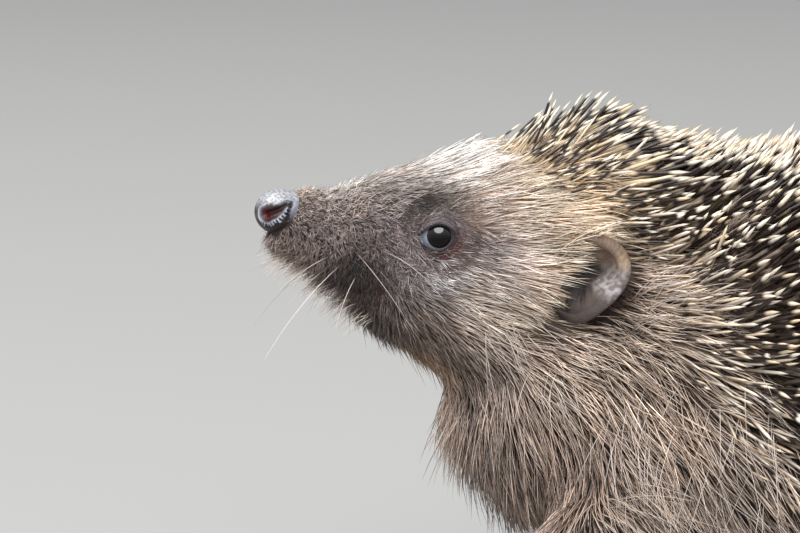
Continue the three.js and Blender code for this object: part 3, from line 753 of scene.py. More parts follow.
def whole_skin():
    """The body's skin, opened at the eyes and joined to the lids and the ears."""
    vertices, triangles, outline = body_skin()
    groove = MOUTH_DEPTH * bell(from_mouth(vertices), MOUTH_WIDTH)
    vertices = vertices - groove[:, None] * vertex_normals(vertices, triangles)
    tree = BVHTree.FromPolygons(vertices.tolist(), triangles.tolist())
    for side in SIDES:
        _, radius, height = eye_place(vertices[triangles].mean(1), side)
        triangles = triangles[(radius > EYE_HOLE) | (height < EYE_BEHIND)]
    meshes, kinds = [(vertices, triangles)], [np.full(len(vertices), SKIN)]
    for kind, make in ((LID, lids), (EAR, ear)):
        for side in SIDES:
            meshes.append(make(side, tree))
            kinds.append(np.full(len(meshes[-1][0]), kind))
    vertices, triangles = joined(meshes)
    used = np.unique(triangles)
    renumber = np.zeros(len(vertices), dtype=int)
    renumber[used] = np.arange(len(used))
    return vertices[used], renumber[triangles], np.concatenate(kinds)[used], outline


skin_vertices, skin_triangles, skin_kind, outline_tree = whole_skin()


# Materials

WHITE = (1.0, 1.0, 1.0)
BAND_COLOUR, BAND_SHARPNESS = "#281c18", 14  # the dark band on each spine


class Nodes:
    """A few steps that make a material's nodes shorter to write."""

    def __init__(self, name):
        self.material = bpy.data.materials.new(name)
        self.material.use_nodes = True
        self.tree = self.material.node_tree
        self.shader = self.tree.nodes["Principled BSDF"]

    def add(self, kind, **settings):
        node = self.tree.nodes.new("ShaderNode" + kind)
        for key, value in settings.items():
            setattr(node, key, value)
        return node

    def give(self, socket, value):
        """An input gets another node's output, a colour or a number."""
        if isinstance(value, bpy.types.NodeSocket):
            self.tree.links.new(value, socket)
        else:
            socket.default_value = (*value, 1.0) if isinstance(value, tuple) else value

    def feed(self, node, **values):
        for name, value in values.items():
            self.give(node.inputs[name.replace("_", " ")], value)

    def calculate(self, operation, *values, **settings):
        node = self.add("Math", operation=operation, **settings)
        for socket, value in zip(node.inputs, values):
            self.give(socket, value)
        return node.outputs[0]

    def attribute(self, name, output="Color"):
        return self.add("Attribute", attribute_name=name).outputs[output]

    def noise(self, scale, detail=3.0, roughness=0.5):
        place = self.add("TexCoord")
        noise = self.add("TexNoise")
        self.feed(noise, Scale=scale, Detail=detail, Roughness=roughness, Vector=place.outputs["Object"])
        return noise.outputs["Fac"]

    def stained(self, dark, scale, detail=3.0):
        """The piece's own tint, with stains as dark as a colour multiplied over it."""
        noise = self.noise(scale, detail)
        ramp = self.add("ValToRGB")
        for element, position, colour in zip(ramp.color_ramp.elements, (0.3, 0.7), (dark, WHITE)):
            element.position = position
            element.color = (*colour, 1.0)
        self.feed(ramp, Fac=noise)
        mix = self.add("Mix", data_type="RGBA", blend_type="MULTIPLY")
        self.feed(mix, Factor=1.0, A=self.attribute("tint"), B=ramp.outputs["Color"])
        return mix.outputs["Result"]

    def bump(self, height, strength, distance):
        bump = self.add("Bump")
        self.feed(bump, Strength=strength, Distance=distance * MM, Height=height)
        normal = bump.outputs["Normal"]
        self.feed(self.shader, Normal=normal, Coat_Normal=normal)

    def finish(self, colour, roughness, specular=0.5, coat=0.0, coat_roughness=0.05, coat_index=1.5):
        self.feed(self.shader, Base_Color=colour, Roughness=roughness, Specular_IOR_Level=specular,
                  Coat_Weight=coat, Coat_Roughness=coat_roughness, Coat_IOR=coat_index)
        return self.material


def hair_material():
    nodes = Nodes("hair")
    colour = nodes.stained((0.84, 0.82, 0.81), 1800.0)
    nodes.bump(nodes.noise(6000.0), 0.15, 0.02)
    return nodes.finish(colour, 0.4, specular=0.9)


def skin_material():
    """Bare skin. Its gloss attribute makes the wet and the polished places shine."""
    nodes = Nodes("skin")
    colour = nodes.stained((0.72, 0.7, 0.68), 500.0, 4.0)
    nodes.bump(nodes.noise(1700.0, 7.0, 0.7), 0.65, 0.3)
    roughness = nodes.add("MapRange")
    nodes.feed(roughness, To_Min=0.62, To_Max=0.14, Value=nodes.attribute("gloss", "Fac"))
    return nodes.finish(colour, roughness.outputs["Result"], specular=0.4)


def eye_material():
    nodes = Nodes("eye")
    return nodes.finish(nodes.attribute("tint"), 0.25, specular=0.06, coat=nodes.attribute("gloss", "Fac"),
                        coat_roughness=0.04, coat_index=1.72)


def nose_material():
    """Finely pebbled skin, moist where its gloss attribute says so."""
    nodes = Nodes("nose")
    nodes.bump(nodes.noise(3000.0, 2.0), 0.7, 0.14)
    return nodes.finish(nodes.attribute("tint"), 0.45, specular=0.35, coat=nodes.attribute("gloss", "Fac"),
                        coat_roughness=0.22, coat_index=1.65)


def claw_material():
    nodes = Nodes("claws")
    return nodes.finish(nodes.stained((0.75, 0.73, 0.7), 900.0), 0.35, specular=0.5)


def spine_material():
    """Spines that are dark between their band's two ends, given as shares of their length."""
    nodes = Nodes("banded_spines")
    split = nodes.add("SeparateColor")
    nodes.feed(split, Color=nodes.attribute("bands"))
    along, dark_from, dark_to = split.outputs[:3]

    def soft_step(edge, sign):
        past_edge = nodes.calculate("SUBTRACT", along, edge)
        return nodes.calculate("MULTIPLY_ADD", past_edge, sign * BAND_SHARPNESS, 0.5, use_clamp=True)

    dark = nodes.calculate("MULTIPLY", soft_step(dark_from, 1), soft_step(dark_to, -1))
    mix = nodes.add("Mix", data_type="RGBA", blend_type="MIX")
    nodes.feed(mix, Factor=dark, A=nodes.attribute("tint"), B=tuple(linear(BAND_COLOUR)))
    nodes.bump(nodes.noise(3000.0), 0.15, 0.03)
    return nodes.finish(mix.outputs["Result"], 0.36, specular=0.6)


hair_look = hair_material()
skin_look = skin_material()
spine_look = spine_material()


# Strands: hairs and spines, each a closed, tapered and slightly bent shaft

ABOVE_FLOOR = 0.05
MOST_TRIANGLES = 190000  # in one piece of the coat
PATCH = 0.003  # size of a strand's patch on the map for baking
MAP_MARGIN, MAP_SIZE, MAP_AXIS = 0.01, 0.97, 60.0  # the last is the height of the line it's wrapped round


def along_skin(flows, normals):
    return unit(flows - normals * (flows * normals).sum(1, keepdims=True))


def turned(flows, normals, angle):
    """Directions turned about the normals."""
    flows = unit(flows)
    aside = np.cross(normals, flows)
    return flows * np.cos(angle)[:, None] + aside * np.sin(angle)[:, None]


def strand_faces(sides, rings):
    """The triangles of one shaft: its root end, its sides and its tip."""
    pattern = [[0, i, i + 1] for i in range(1, sides - 1)]
    for ring in range(rings - 1):
        for i in range(sides):
            a, b = ring * sides + i, ring * sides + (i + 1) % sides
            pattern += [[a, b + sides, b], [a, a + sides, b + sides]]
    last = (rings - 1) * sides
    pattern += [[last + i, last + sides, last + (i + 1) % sides] for i in range(sides)]
    return np.array(pattern)


def strands(roots, normals, flows, length, width, lift, curl, droop, sides, stations, profile):
    """Vertices and triangles of one shaft for each root, and how far along it each vertex is."""
    flows = along_skin(flows, normals)
    start, final = (flows * np.cos(angle)[:, None] + normals * np.sin(angle)[:, None]
                    for angle in (lift, lift - curl))
    final = final + droop
    across = unit(np.cross(start, normals))
    above = np.cross(across, start)
    turn = 2 * np.pi * np.arange(sides)[None, :, None] / sides
    rings = []
    for t, share in zip(stations, profile):
        middle = roots + length[:, None] * (t * start + t * t / 2 * (final - start))
        radius = (width * share / 2)[:, None, None]
        spoke = np.cos(turn) * across[:, None] + np.sin(turn) * above[:, None]
        rings.append(middle[:, None] + radius * spoke)
    tip = roots + length[:, None] * (start + final) / 2
    vertices = np.concatenate([*rings, tip[:, None]], axis=1)
    vertices[..., 2] = np.maximum(vertices[..., 2], ABOVE_FLOOR)
    first = np.arange(len(roots)) * vertices.shape[1]
    triangles = first[:, None, None] + strand_faces(sides, len(stations))
    return vertices.reshape(-1, 3), triangles.reshape(-1, 3), np.append(np.repeat(stations, sides), 1.0)


def some_strands(coat, chosen, depth, sides, stations, profile):
    """The chosen strands of a coat, rooted at a depth in the skin."""
    part = {name: values[chosen] for name, values in coat.items()}
    part["roots"] = part["roots"] - depth * part["normals"]
    return strands(**part, sides=sides, stations=stations, profile=profile)


def sample(vertices, triangles, normals, density):
    """Random roots on the triangles, with density roots per square mm at each triangle."""
    wanted = np.linalg.norm(face_crosses(vertices, triangles), axis=1) / 2 * density
    count = np.floor(wanted + rng.random(len(wanted))).astype(int)
    corners = triangles[np.repeat(np.arange(len(triangles)), count)]
    u, v = rng.random((2, len(corners)))
    flip = u + v > 1
    u[flip], v[flip] = 1 - u[flip], 1 - v[flip]
    weights = (1 - u - v, u, v)
    roots, mixed = (sum(weight[:, None] * values[corners[:, i]] for i, weight in enumerate(weights))
                    for values in (vertices, normals))
    return roots, unit(mixed)


def bake_map(roots, reached):
    """Each strand is a small patch on a flat map of the body: how far back, and how far round it."""
    low, high = np.array(cad_box) / MM
    back = (roots[:, 0] - low[0]) / (high[0] - low[0])
    turn = np.arctan2(roots[:, 1], MAP_AXIS - roots[:, 2]) / (2 * np.pi) + 0.5
    corner = MAP_MARGIN + MAP_SIZE * np.stack([back, turn], axis=1)
    patch = np.stack([np.linspace(0, PATCH, len(reached)), PATCH * reached], axis=1)
    return (corner[:, None] + patch).reshape(-1, 2)


def shade(root, tip, reached, rise, variation):
    """Colours from root to tip for each strand, each a little lighter or darker than its place."""
    mixture = smoothstep(rise[0], rise[1], reached)[None, :, None]
    colours = root[:, None] * (1 - mixture) + tip[:, None] * mixture
    return (colours * np.exp(variation)[:, None, None]).reshape(-1, 3)


def coat_pieces(name, look, roots, members, make):
    """The member strands, shared out between as few pieces as the limit on triangles allows."""
    pieces = math.ceil(len(members) * len(make(members[:1])[1]) / MOST_TRIANGLES)
    order = rng.permutation(members)
    for i in range(pieces):
        chosen = order[i::pieces]
        vertices, triangles, reached, colours, extra = make(chosen)
        piece = make_object(f"{name}_{i + 1}", vertices, triangles, colours,
                            bake_map(roots[chosen], reached), extra)
        piece.data.materials.append(look)
        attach(piece, "root")


# The coat

skin_tree = BVHTree.FromPolygons(skin_vertices.tolist(), skin_triangles.tolist())
skin_normals = vertex_normals(skin_vertices, skin_triangles)
face_middle = skin_vertices[skin_triangles].mean(1)
face_of_ear = (skin_kind[skin_triangles] == EAR).all(1)
face_spininess = spininess(face_middle)
QUICK = 1.0  # the share of the coat that grows

OPEN_LID = 0.45  # no hair grows this near the lips of the lids
BARE_LID, BARE_LID_MORE = 0.7, 1.2  # where skin is nearly bare, and how much further above and below
LID_HAIR = 1.2  # length of the few hairs on the lids
LID_HAIR_SHARE = 0.45
BARE_NOSE = 0.96 * NOSE_RADIUS
# The cheek's hair ends over the ear along a slanting line: two places on it, back and up from the
# middle of the cup. Hair starts inside the ear's rim only this far in front of the line.
EAR_HAIR_END = np.array([(3.4, 1.9), (-6.8, -7.7)])
EAR_HAIR_START = 5.0
EAR_HAIR_REACH, EAR_HAIR_SHORTEST = 1.35, 2.5  # for each mm in front of the line, and at least
CHEEK_OUT = 12.0  # from the middle of the head to where such hair grows
EAR_LEVEL, EAR_SPAN = -1.5, 10.5  # the middle, from the ear's, and half of the height of that hair


def clear_of_openings(points):
    """Where hair may grow: not on the nose, the lips of the lids or the open part of the ears."""
    clear = np.linalg.norm(points - NOSE, axis=1) > BARE_NOSE
    for side in SIDES:
        clear &= lid_skin(points, side, OPEN_LID) == 0
        share, _, near = ear_place(points, side)
        clear &= (share > 1) | ~near | (before_ear(points, side) > EAR_HAIR_START)
    return clear


def lid_skin(points, side, margin):
    """1 on the lids, as far beyond their lips as margin, and 0 elsewhere."""
    turn, radius, height = eye_place(points, side)
    return ((radius < lid_opening(turn) + margin) & (height > 0)).astype(float)


def on_lids(points):
    """1 on the nearly bare skin round the eyes, wider above and below than at the corners."""
    def bare(side):
        turn, _, _ = eye_place(points, side)
        return lid_skin(points, side, BARE_LID + BARE_LID_MORE * np.abs(np.sin(turn)))

    return np.maximum(bare("left"), bare("right"))


def before_ear(points, side):
    """How far points are in front of the line along which the cheek's hair ends over the ear."""
    back, up, _ = ear_axes(side)
    away = points - EARS[side]
    place = np.stack([away @ back, away @ up], axis=1) - EAR_SHIFT
    line = unit(EAR_HAIR_END[1] - EAR_HAIR_END[0])
    return (place - EAR_HAIR_END[0]) @ np.array([line[1], -line[0]])


def trimmed(length, roots):
    """Lengths of the hairs: short on the lids, and ending about where the ears' openings begin."""
    for side in SIDES:
        _, _, outward = ear_axes(side)
        ahead = before_ear(roots, side)
        height = (roots - EARS[side]) @ UP
        reach = np.maximum(EAR_HAIR_REACH * ahead, EAR_HAIR_SHORTEST) * rng.uniform(0.8, 1.3, len(roots))
        beside_ear = np.abs(height - EAR_LEVEL) < EAR_SPAN
        facing = ((roots - NOSE) @ outward > CHEEK_OUT) & (ahead > 0) & beside_ear
        length = np.where(facing, np.minimum(length, reach), length)
    return np.where(on_lids(roots) > 0, LID_HAIR * rng.uniform(0.6, 1.3, len(roots)), length)


# How many times over hair covers the skin, how much more on the head and how much less on the muzzle
HAIR_LAYERS, HEAD_LAYERS, MUZZLE_LAYERS = 2.2, 1.9, 0.7
LOCK_HAIRS = 7  # hairs whose tips draw together
FUZZ_LENGTH = 6.0  # shorter hairs are fuzz, made with a ring less
HAIR_DEPTH, SPINE_DEPTH, WHISKER_DEPTH = 0.2, 0.5, 0.5  # how deep roots lie in the skin
HAIR_SIDES, SPINE_SIDES, WHISKER_SIDES = 3, 5, 5


def hair_density():
    """Hairs per square mm on each face of the skin."""
    here = hair_at(face_middle)
    on_head = 1 - smoothstep(-55, -30, face_middle[:, 0])
    on_muzzle = 1 - smoothstep(12, 26, (face_middle - NOSE) @ BACK)
    layers = HAIR_LAYERS + HEAD_LAYERS * on_head - MUZZLE_LAYERS * on_muzzle
    density = layers / (here[:, LENGTH] * here[:, WIDTH])
    density *= 1 - smoothstep(3, 13, face_spininess)
    bare_ear = face_of_ear & (before_ear(face_middle, "left") < EAR_HAIR_START)
    density *= clear_of_openings(face_middle) * ~bare_ear * QUICK
    return density * (1 - (1 - LID_HAIR_SHARE) * on_lids(face_middle))


def locks(roots):
    """For each hair, the root of the hair in the middle of its lock."""
    middles = rng.permutation(len(roots))[:len(roots) // LOCK_HAIRS]
    tree = KDTree(len(middles))
    for index in middles:
        tree.insert(roots[index], int(index))
    tree.balance()
    return np.array([tree.find(root)[1] for root in roots])


def hair_coat():
    """All hairs, with the colours of their roots and tips and how much lighter or darker each one is."""
    roots, normals = sample(skin_vertices, skin_triangles, skin_normals, hair_density())
    values = hair_at(roots)
    count = len(roots)
    lock = locks(roots)

    def scatter(own, shared):
        """Random differences between hairs, in part shared by a lock."""
        return own * rng.standard_normal(count) + shared * rng.standard_normal(count)[lock]

    def spread(amount, low, high):
        return np.clip(1 + amount * rng.standard_normal(count), low, high)

    # How many degrees the hairs stray from their lie: short ones stray the most.
    wildness = 8 + 31 * (1 - smoothstep(1.8, 4.2, values[:, LENGTH]))
    swirl = np.radians(12 * ripple(roots, 6.0) + 0.6 * wildness * ripple(roots, 1.6)
                       + wildness * scatter(0.6, 0.8))
    length = trimmed(values[:, LENGTH] * spread(0.22, 0.5, 1.5), roots)
    width = values[:, WIDTH] * rng.uniform(0.7, 1.15, count) * (1 - 0.45 * on_lids(roots))
    lift = values[:, LIFT] * spread(0.3, 0.3, 1.6)
    curl = lift * rng.uniform(0.3, 1.0, count)
    unkempt = np.clip(values[:, LIFT] / math.radians(18), 0.45, 1.2)
    droop = 0.1 * DOWN + (unkempt * (0.1 + 0.006 * wildness))[:, None] * rng.standard_normal((count, 3))
    gather = unkempt * rng.uniform(0.5, 1.7, count) / length
    droop += np.clip(gather[:, None] * (roots[lock] - roots), -0.6, 0.6)
    coat = {"roots": roots, "normals": normals, "flows": turned(values[:, FLOW], normals, swirl),
            "length": length, "width": width, "lift": lift, "curl": curl, "droop": droop}
    variation = scatter(0.2, 0.2) + 0.1 * ripple(roots, 9.0, 1.0)
    dull = rng.random(count) < 0.36 * np.minimum(unkempt, 1)
    root = 0.85 * values[:, ROOT]
    tip = np.where(dull[:, None], 0.4 * values[:, TIP] + 0.6 * root, values[:, TIP])
    return coat, root, tip, variation


def grow_hair():
    coat, root, tip, variation = hair_coat()

    def hairs(chosen, stations, profile):
        vertices, triangles, reached = some_strands(coat, chosen, HAIR_DEPTH, HAIR_SIDES, stations, profile)
        colours = shade(root[chosen], tip[chosen], reached, (0.08, 0.55), variation[chosen])
        return vertices, triangles, reached, colours, None

    fuzzy = coat["length"] < FUZZ_LENGTH
    coat_pieces("fuzz", hair_look, coat["roots"], np.flatnonzero(fuzzy),
                lambda chosen: hairs(chosen, (0.0, 0.5), (1.0, 0.8)))
    coat_pieces("hair", hair_look, coat["roots"], np.flatnonzero(~fuzzy),
                lambda chosen: hairs(chosen, (0.0, 0.35, 0.7), (0.8, 1.0, 0.7)))


SPINE_DENSITY = 1.6  # places per square mm that are tried
SPINE_SPACING, EDGE_SPACING = 1.42, 0.3  # between spines, and how much less at the coat's edge
SPINE_LIFTS = (math.radians(6), math.radians(68))
TIP_HEIGHT, TIP_SPREAD, TIP_MOST = -0.8, 1.5, 1.6  # of the tips above the solids' outline
LIFT_ROUNDS, LIFT_STEP = 3, 0.8
TIP_STAIN = "#ffeed2"  # multiplied over the tips of the most ochre spines


def spread_out(points, spacing):
    """The indices of points that keep their own spacing from all chosen before them."""
    cell = float(spacing.min())
    cells = np.floor(points / cell).astype(int)
    reach = int(math.ceil(spacing.max() / cell))
    steps = range(-reach, reach + 1)
    around = [(i, j, k) for i in steps for j in steps for k in steps]
    taken, chosen = {}, []

    def is_clear(home, point, limit):
        for i, j, k in around:
            for other in taken.get((home[0] + i, home[1] + j, home[2] + k), ()):
                dx, dy, dz = point - points[other]
                if dx * dx + dy * dy + dz * dz < limit:
                    return False
        return True

    for index, (home, point) in enumerate(zip(map(tuple, cells), points)):
        if is_clear(home, point, spacing[index] ** 2):
            taken.setdefault(home, []).append(index)
            chosen.append(index)
    return np.array(chosen)


def fitted_lift(roots, normals, flows, length, lift, curl, edge):
    """The lifts that bring the tips of the spines to the outline of the solids, give or take."""
    flows = along_skin(flows, normals)
    wanted = np.minimum(rng.normal(TIP_HEIGHT, TIP_SPREAD, len(roots)) - 1.2 * edge, TIP_MOST)
    for _ in range(LIFT_ROUNDS):
        middle = (lift - curl / 2)[:, None]
        tips = roots + length[:, None] * (flows * np.cos(middle) + normals * np.sin(middle))
        beyond = np.empty(len(tips))
        for index, tip in enumerate(tips):
            place, normal, _, _ = outline_tree.find_nearest(tip)
            beyond[index] = (Vector(tip) - place).dot(normal) + SEAM_SWELL
        change = np.clip((wanted - beyond) / length, -0.3, 0.3)
        change = np.where(change > 0, change * (1 - edge), change)
        lift = np.clip(lift + LIFT_STEP * change, *SPINE_LIFTS)
    return lift


def spine_roots():
    """Roots, with the normals there, that keep their distance from each other."""
    density = SPINE_DENSITY * smoothstep(-6, 3, face_spininess)
    density = density * clear_of_openings(face_middle) * ~face_of_ear
    roots, normals = sample(skin_vertices, skin_triangles, skin_normals, density)
    order = rng.permutation(len(roots))
    roots, normals = roots[order], normals[order]
    edge = 1 - smoothstep(0, 10, spininess(roots))
    keep = spread_out(roots, (SPINE_SPACING - EDGE_SPACING * edge) / math.sqrt(QUICK))
    return roots[keep], normals[keep]


def grow_spines():
    roots, normals = spine_roots()
    values = spines_at(roots)
    count = len(roots)
    swirl = np.radians(16) * ripple(roots, 11.0) + np.radians(13) * rng.standard_normal(count)
    flows = turned(values[:, FLOW], normals, swirl)
    length = values[:, LENGTH] * rng.uniform(0.82, 1.12, count)
    edge = 1 - smoothstep(0, 14, spininess(roots))
    length *= 1 - 0.3 * edge
    width = values[:, WIDTH] * rng.uniform(0.95, 1.32, count) * (1 - 0.45 * edge)
    lift = values[:, LIFT] * np.clip(1 + 0.2 * rng.standard_normal(count), 0.45, 1.35)
    curl = np.radians(rng.uniform(0, 10, count))
    crown = crown_share(roots, -62, 82, 96)
    lift = fitted_lift(roots, normals, flows, length, lift, curl, edge * (1 - 0.45 * crown))
    coat = {"roots": roots, "normals": normals, "flows": flows, "length": length, "width": width,
            "lift": lift, "curl": curl, "droop": 0.03 * rng.standard_normal((count, 3))}
    # Most spines have a dark band, whose two ends are given as shares of their length.
    dark_from = rng.uniform(0.4, 0.6, count) + 0.05 * edge * (1 - crown)
    dark_to = rng.uniform(0.76, 0.88, count)
    plain = 0.75 * edge * (1 - crown) + 0.12 * crown
    dark_to = np.where(rng.random(count) < plain, dark_from, dark_to)
    variation = 0.12 * rng.standard_normal(count)
    ochre = rng.uniform(0, 1, count)[:, None] ** 2
    tip = values[:, TIP] * (1 - ochre * (1 - linear(TIP_STAIN)))

    def spines(chosen):
        vertices, triangles, reached = some_strands(coat, chosen, SPINE_DEPTH, SPINE_SIDES,
                                                    (0.0, 0.5, 0.87), (0.65, 1.0, 0.86))
        colours = shade(values[chosen, ROOT], tip[chosen], reached, (0.5, 0.8), variation[chosen])
        bands = np.stack([np.tile(reached, len(chosen)), np.repeat(dark_from[chosen], len(reached)),
                          np.repeat(dark_to[chosen], len(reached))], axis=1)
        return vertices, triangles, reached, colours, {"bands": bands}

    coat_pieces("spines", spine_look, roots, np.arange(count), spines)


grow_hair()
grow_spines()


# Colours of the skin

def painted(colours, *layers):
    """Colours with layers over them, each a colour and how much of it shows at each point."""
    for colour, share in layers:
        share = np.clip(share, 0, 1)[:, None]
        colours = colours * (1 - share) + linear(colour) * share
    return colours


def eye_surrounds(colours, gloss, points, side):
    """The lids' greyish skin, painted shade in their creases, the red-brown fold behind, and a painted pale
    glint along the wet rim, strongest low in front.
    """
    turn, radius, height = eye_place(points, side)
    beyond = radius - lid_opening(turn)
    near = (height > EYE_BEHIND) & (radius < EYE_REGION)
    above = smoothstep(-0.2, 0.6, np.sin(turn))
    folds = sum(bell(beyond, 1.5 * width, distance) for distance, _, width in LID_CREASES)
    red_fold = near * bell_of_turn(turn, 0.85, -135) * bell(beyond, 1.25, 1.9)
    moist = 0.4 + 0.6 * smoothstep(-0.3, 0.6, np.cos(turn - LOW_SLANT))
    colours = painted(
        colours,
        ("#6a5b5c", near * (1 - smoothstep(2.4, 4.6, beyond)) * 0.95),
        ("#a2959f", near * above * bell(beyond, 0.9, 1.3) * (0.55 + 0.35 * ripple(points, 0.8))),
        # painted shade in the creases of the lids
        ("#1e1516", near * folds * (0.7 + 0.3 * ripple(points, 0.9))),
        ("#54291d", red_fold * 0.9),
        ("#73767f", near * (1 - smoothstep(0.06, 0.2, beyond))),
        ("#181113", near * bell(beyond, 0.11, 0.3) * 0.95),
        # a painted glint, pale bluish, on the wet rim of the lids, strongest low in front
        ("#a4aec0", near * (1 - smoothstep(0.02, 0.1, beyond)) * moist))
    gloss = np.maximum(gloss, near * (1 - smoothstep(0.15, 0.6, beyond)) * 0.95)
    return colours, np.maximum(gloss, red_fold * 0.5)


def ear_colours(colours, gloss, points, side, kind):
    """A greyish shell, browner above, with painted shade in its cup and painted shadow low in front, and a
    painted pale sheen along its lower back, where it is also glossier.
    """
    share, turn, _ = ear_place(points, side)
    ear = (kind == EAR) & ((points - NOSE) @ LEFT * SIDES[side] > 0)
    ear = ear * (1 - smoothstep(4.0, 7.0, before_ear(points, side)))
    from_edge = ear_rim(turn)[0] * (1 - share)
    degrees = np.degrees(turn) % 360
    upper = smoothstep(0.25, 0.85, np.sin(turn))
    streaks = 0.5 + 0.5 * np.sin(64 * turn + 4 * np.sin(5 * turn))
    mottle = smoothstep(-0.45, 0.45, ripple(points, 0.6, 0.7) + 0.6 * ripple(points, 0.33, 2.1))
    floor = smoothstep(3.4, 5.8, from_edge + 0.6 * ripple(points, 1.5))
    shine = bell_of_turn(turn, 0.6, -20)
    ochre = bell_of_turn(turn, math.radians(15), 30) * (0.4 + 0.6 * mottle)
    inner_ring = smoothstep(2.4, 3.8, from_edge) * (1 - smoothstep(4.6, 6.6, from_edge))
    colours = painted(
        colours,
        ("#7a6e69", ear),
        ("#574a45", ear * (1 - mottle) * 0.6),
        ("#7d6758", ear * upper),
        ("#4f3c33", ear * upper * streaks * 0.5),
        ("#b29468", ear * ochre * smoothstep(0.55, 0.8, share) * 0.7),
        # painted pale sheen along the lower back of the rim
        ("#c9c2c6", ear * shine * (0.15 + 0.75 * mottle) * (1 - 0.5 * floor)),
        # The lower front is painted dark, as shadow.
        ("#40342f", ear * bell(degrees, 36, 262) * (0.5 + 0.3 * mottle)),
        ("#1d1513", ear * bell(degrees, 19, 236) * 0.9),
        ("#1b1311", ear * bell(degrees, 38, 205) * 0.9),
        # the floor of the cup: its own dark grey-brown, painted nearly black as shade in its hollow
        ("#130d0c", ear * floor * 0.97),
        ("#6d5d56", ear * streaks * inner_ring * 0.3))
    return colours, np.maximum(gloss, ear * (0.25 + 0.4 * shine) * smoothstep(0.5, 0.8, share))


def skin_look_at(points, kind):
    """Colour and gloss of the skin: painted shade under the coat, and its colours round the eyes, in the
    ears and along the mouth.
    """
    values = hair_at(points)
    pale = values[:, ROOT].mean(1)
    # Under the coat the skin is painted darker than the hairs' roots, more under long hair and less under
    # pale hair, as shade between the hairs.
    shade_under_coat = 0.5 - 0.25 * smoothstep(3, 8, values[:, LENGTH]) + 0.5 * pale
    colours = painted(shade_under_coat[:, None] * values[:, ROOT], ("#5a342b", bell(from_mouth(points), 1.3)))
    gloss = np.zeros(len(points))
    for side in SIDES:
        colours, gloss = eye_surrounds(colours, gloss, points, side)
        colours, gloss = ear_colours(colours, gloss, points, side, kind)
    return colours, gloss


def glossy_object(name, vertices, triangles, colours, gloss):
    return make_object(name, vertices, triangles, colours,
                       extra={"gloss": np.repeat(gloss[:, None], 3, axis=1)})


def add_skin():
    colours, gloss = skin_look_at(skin_vertices, skin_kind)
    skin = glossy_object("skin", skin_vertices, skin_triangles, colours, gloss)
    skin.data.materials.append(skin_look)
    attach(skin, "root")
    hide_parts(*FLESH, "ear_left", "ear_right")


# Eyes

EYE_AROUND, EYE_RINGS = 96, 94
CORNEA = 3.4  # radius of the eye's front
IRIS_EDGE = 0.12  # how far the flatter front reaches beyond the dark part
# The last colour is the white of the eye with a painted bluish reflection on it, used low in front.
PUPIL, BROWN, EYE_WHITE, LOW_FRONT_GLINT = "#040203", "#2c1a12", "#4e515a", "#99a1b0"


def eyeball(side):
    outward, forward, upward = eye_axes(side)
    polar = np.linspace(0, np.pi, EYE_RINGS + 2)[1:-1, None]
    turn = turns(EYE_AROUND)
    radius = EYEBALL * np.sin(polar) * np.ones(EYE_AROUND)
    height = EYEBALL * np.cos(polar) * np.ones(EYE_AROUND)
    # The front is a little flatter than the rest of the ball.
    rim = IRIS + IRIS_EDGE
    apex = CORNEA - math.sqrt(CORNEA ** 2 - rim ** 2) + math.sqrt(EYEBALL ** 2 - rim ** 2)
    front = np.sqrt(CORNEA ** 2 - np.minimum(radius, rim) ** 2) - CORNEA + apex
    height = np.where((height > 0) & (radius < rim), front, height)
    vertices = (EYES[side] + (radius * np.cos(turn))[..., None] * forward
                + (radius * np.sin(turn))[..., None] * upward + height[..., None] * outward)
    white = np.where(height > 0, smoothstep(IRIS - 0.06, IRIS + 0.06, radius), 1.0)
    low_front = smoothstep(0.0, 0.9, np.cos(turn - LOW_SLANT))
    colours = painted(
        np.tile(linear(PUPIL), (radius.size, 1)),
        (BROWN, 0.3 * smoothstep(IRIS - 0.9, IRIS - 0.2, radius).ravel()),
        (EYE_WHITE, white.ravel()),
        # low in front the white of the eye is painted paler and bluish, a painted reflection
        (LOW_FRONT_GLINT, (white * low_front * (0.75 + 0.25 * ripple(vertices, 0.35))).ravel()))
    poles = EYES[side] + np.array([apex, -EYEBALL])[:, None] * outward
    vertices = np.concatenate([vertices.reshape(-1, 3), poles])
    colours = np.concatenate([colours, [linear(PUPIL), linear(EYE_WHITE)]])
    # The lower lid's hair keeps the light off the lower part of the eye.
    gloss = 0.15 + 0.85 * smoothstep(-0.5, 0.9, (vertices - EYES[side]) @ upward)
    return vertices, outside_out(closed_tube(EYE_RINGS, EYE_AROUND), side), colours, gloss


def add_eyes():
    look = eye_material()
    for side in SIDES:
        eye = glossy_object(f"eyeball_{side}", *eyeball(side))
        eye.data.materials.append(look)
        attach(eye, "root")
        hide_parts(f"eye_{side}")


# Nose: a moist dome with a comma-shaped nostril, a comb of raised folds round it, painted white in part as
# their wet highlight, and a slit behind it

# Directions from its middle, in degrees: turn from straight ahead toward the side, then height
NOSTRIL = ((44, 0), (52, 5), (65, 9), (80, 16), (92, 23), (100, 28))
RIM = ((30, 14), (27, 0), (31, -16), (46, -24), (60, -20), (76, -11), (90, 3), (102, 21))
SLIT = ((108, 27), (102, 6), (99, -14))
FURROW = ((0, 40), (0, 0), (0, -50), (0, -85))
FRONT_STRIPE = 0.3  # share of the rim before its comb begins
TEETH = 11
RIM_REACH = 1.3  # how far from the rim its teeth still show
NOSE_RINGS, NOSE_AROUND = 148, 240
NOSE_BACK = 1.1  # how much further back than a ball it reaches, into the muzzle's hair
NOSE_SIZE = NOSE_RADIUS * np.array([1.02, 1.0, 0.94])
NOSE_DARK = "#3a3031"


def nose_path(degrees):
    turn, height = np.radians(degrees).T
    return NOSE_RADIUS * np.stack([-np.cos(height) * np.cos(turn), np.cos(height) * np.sin(turn),
                                   np.sin(height)], axis=1)


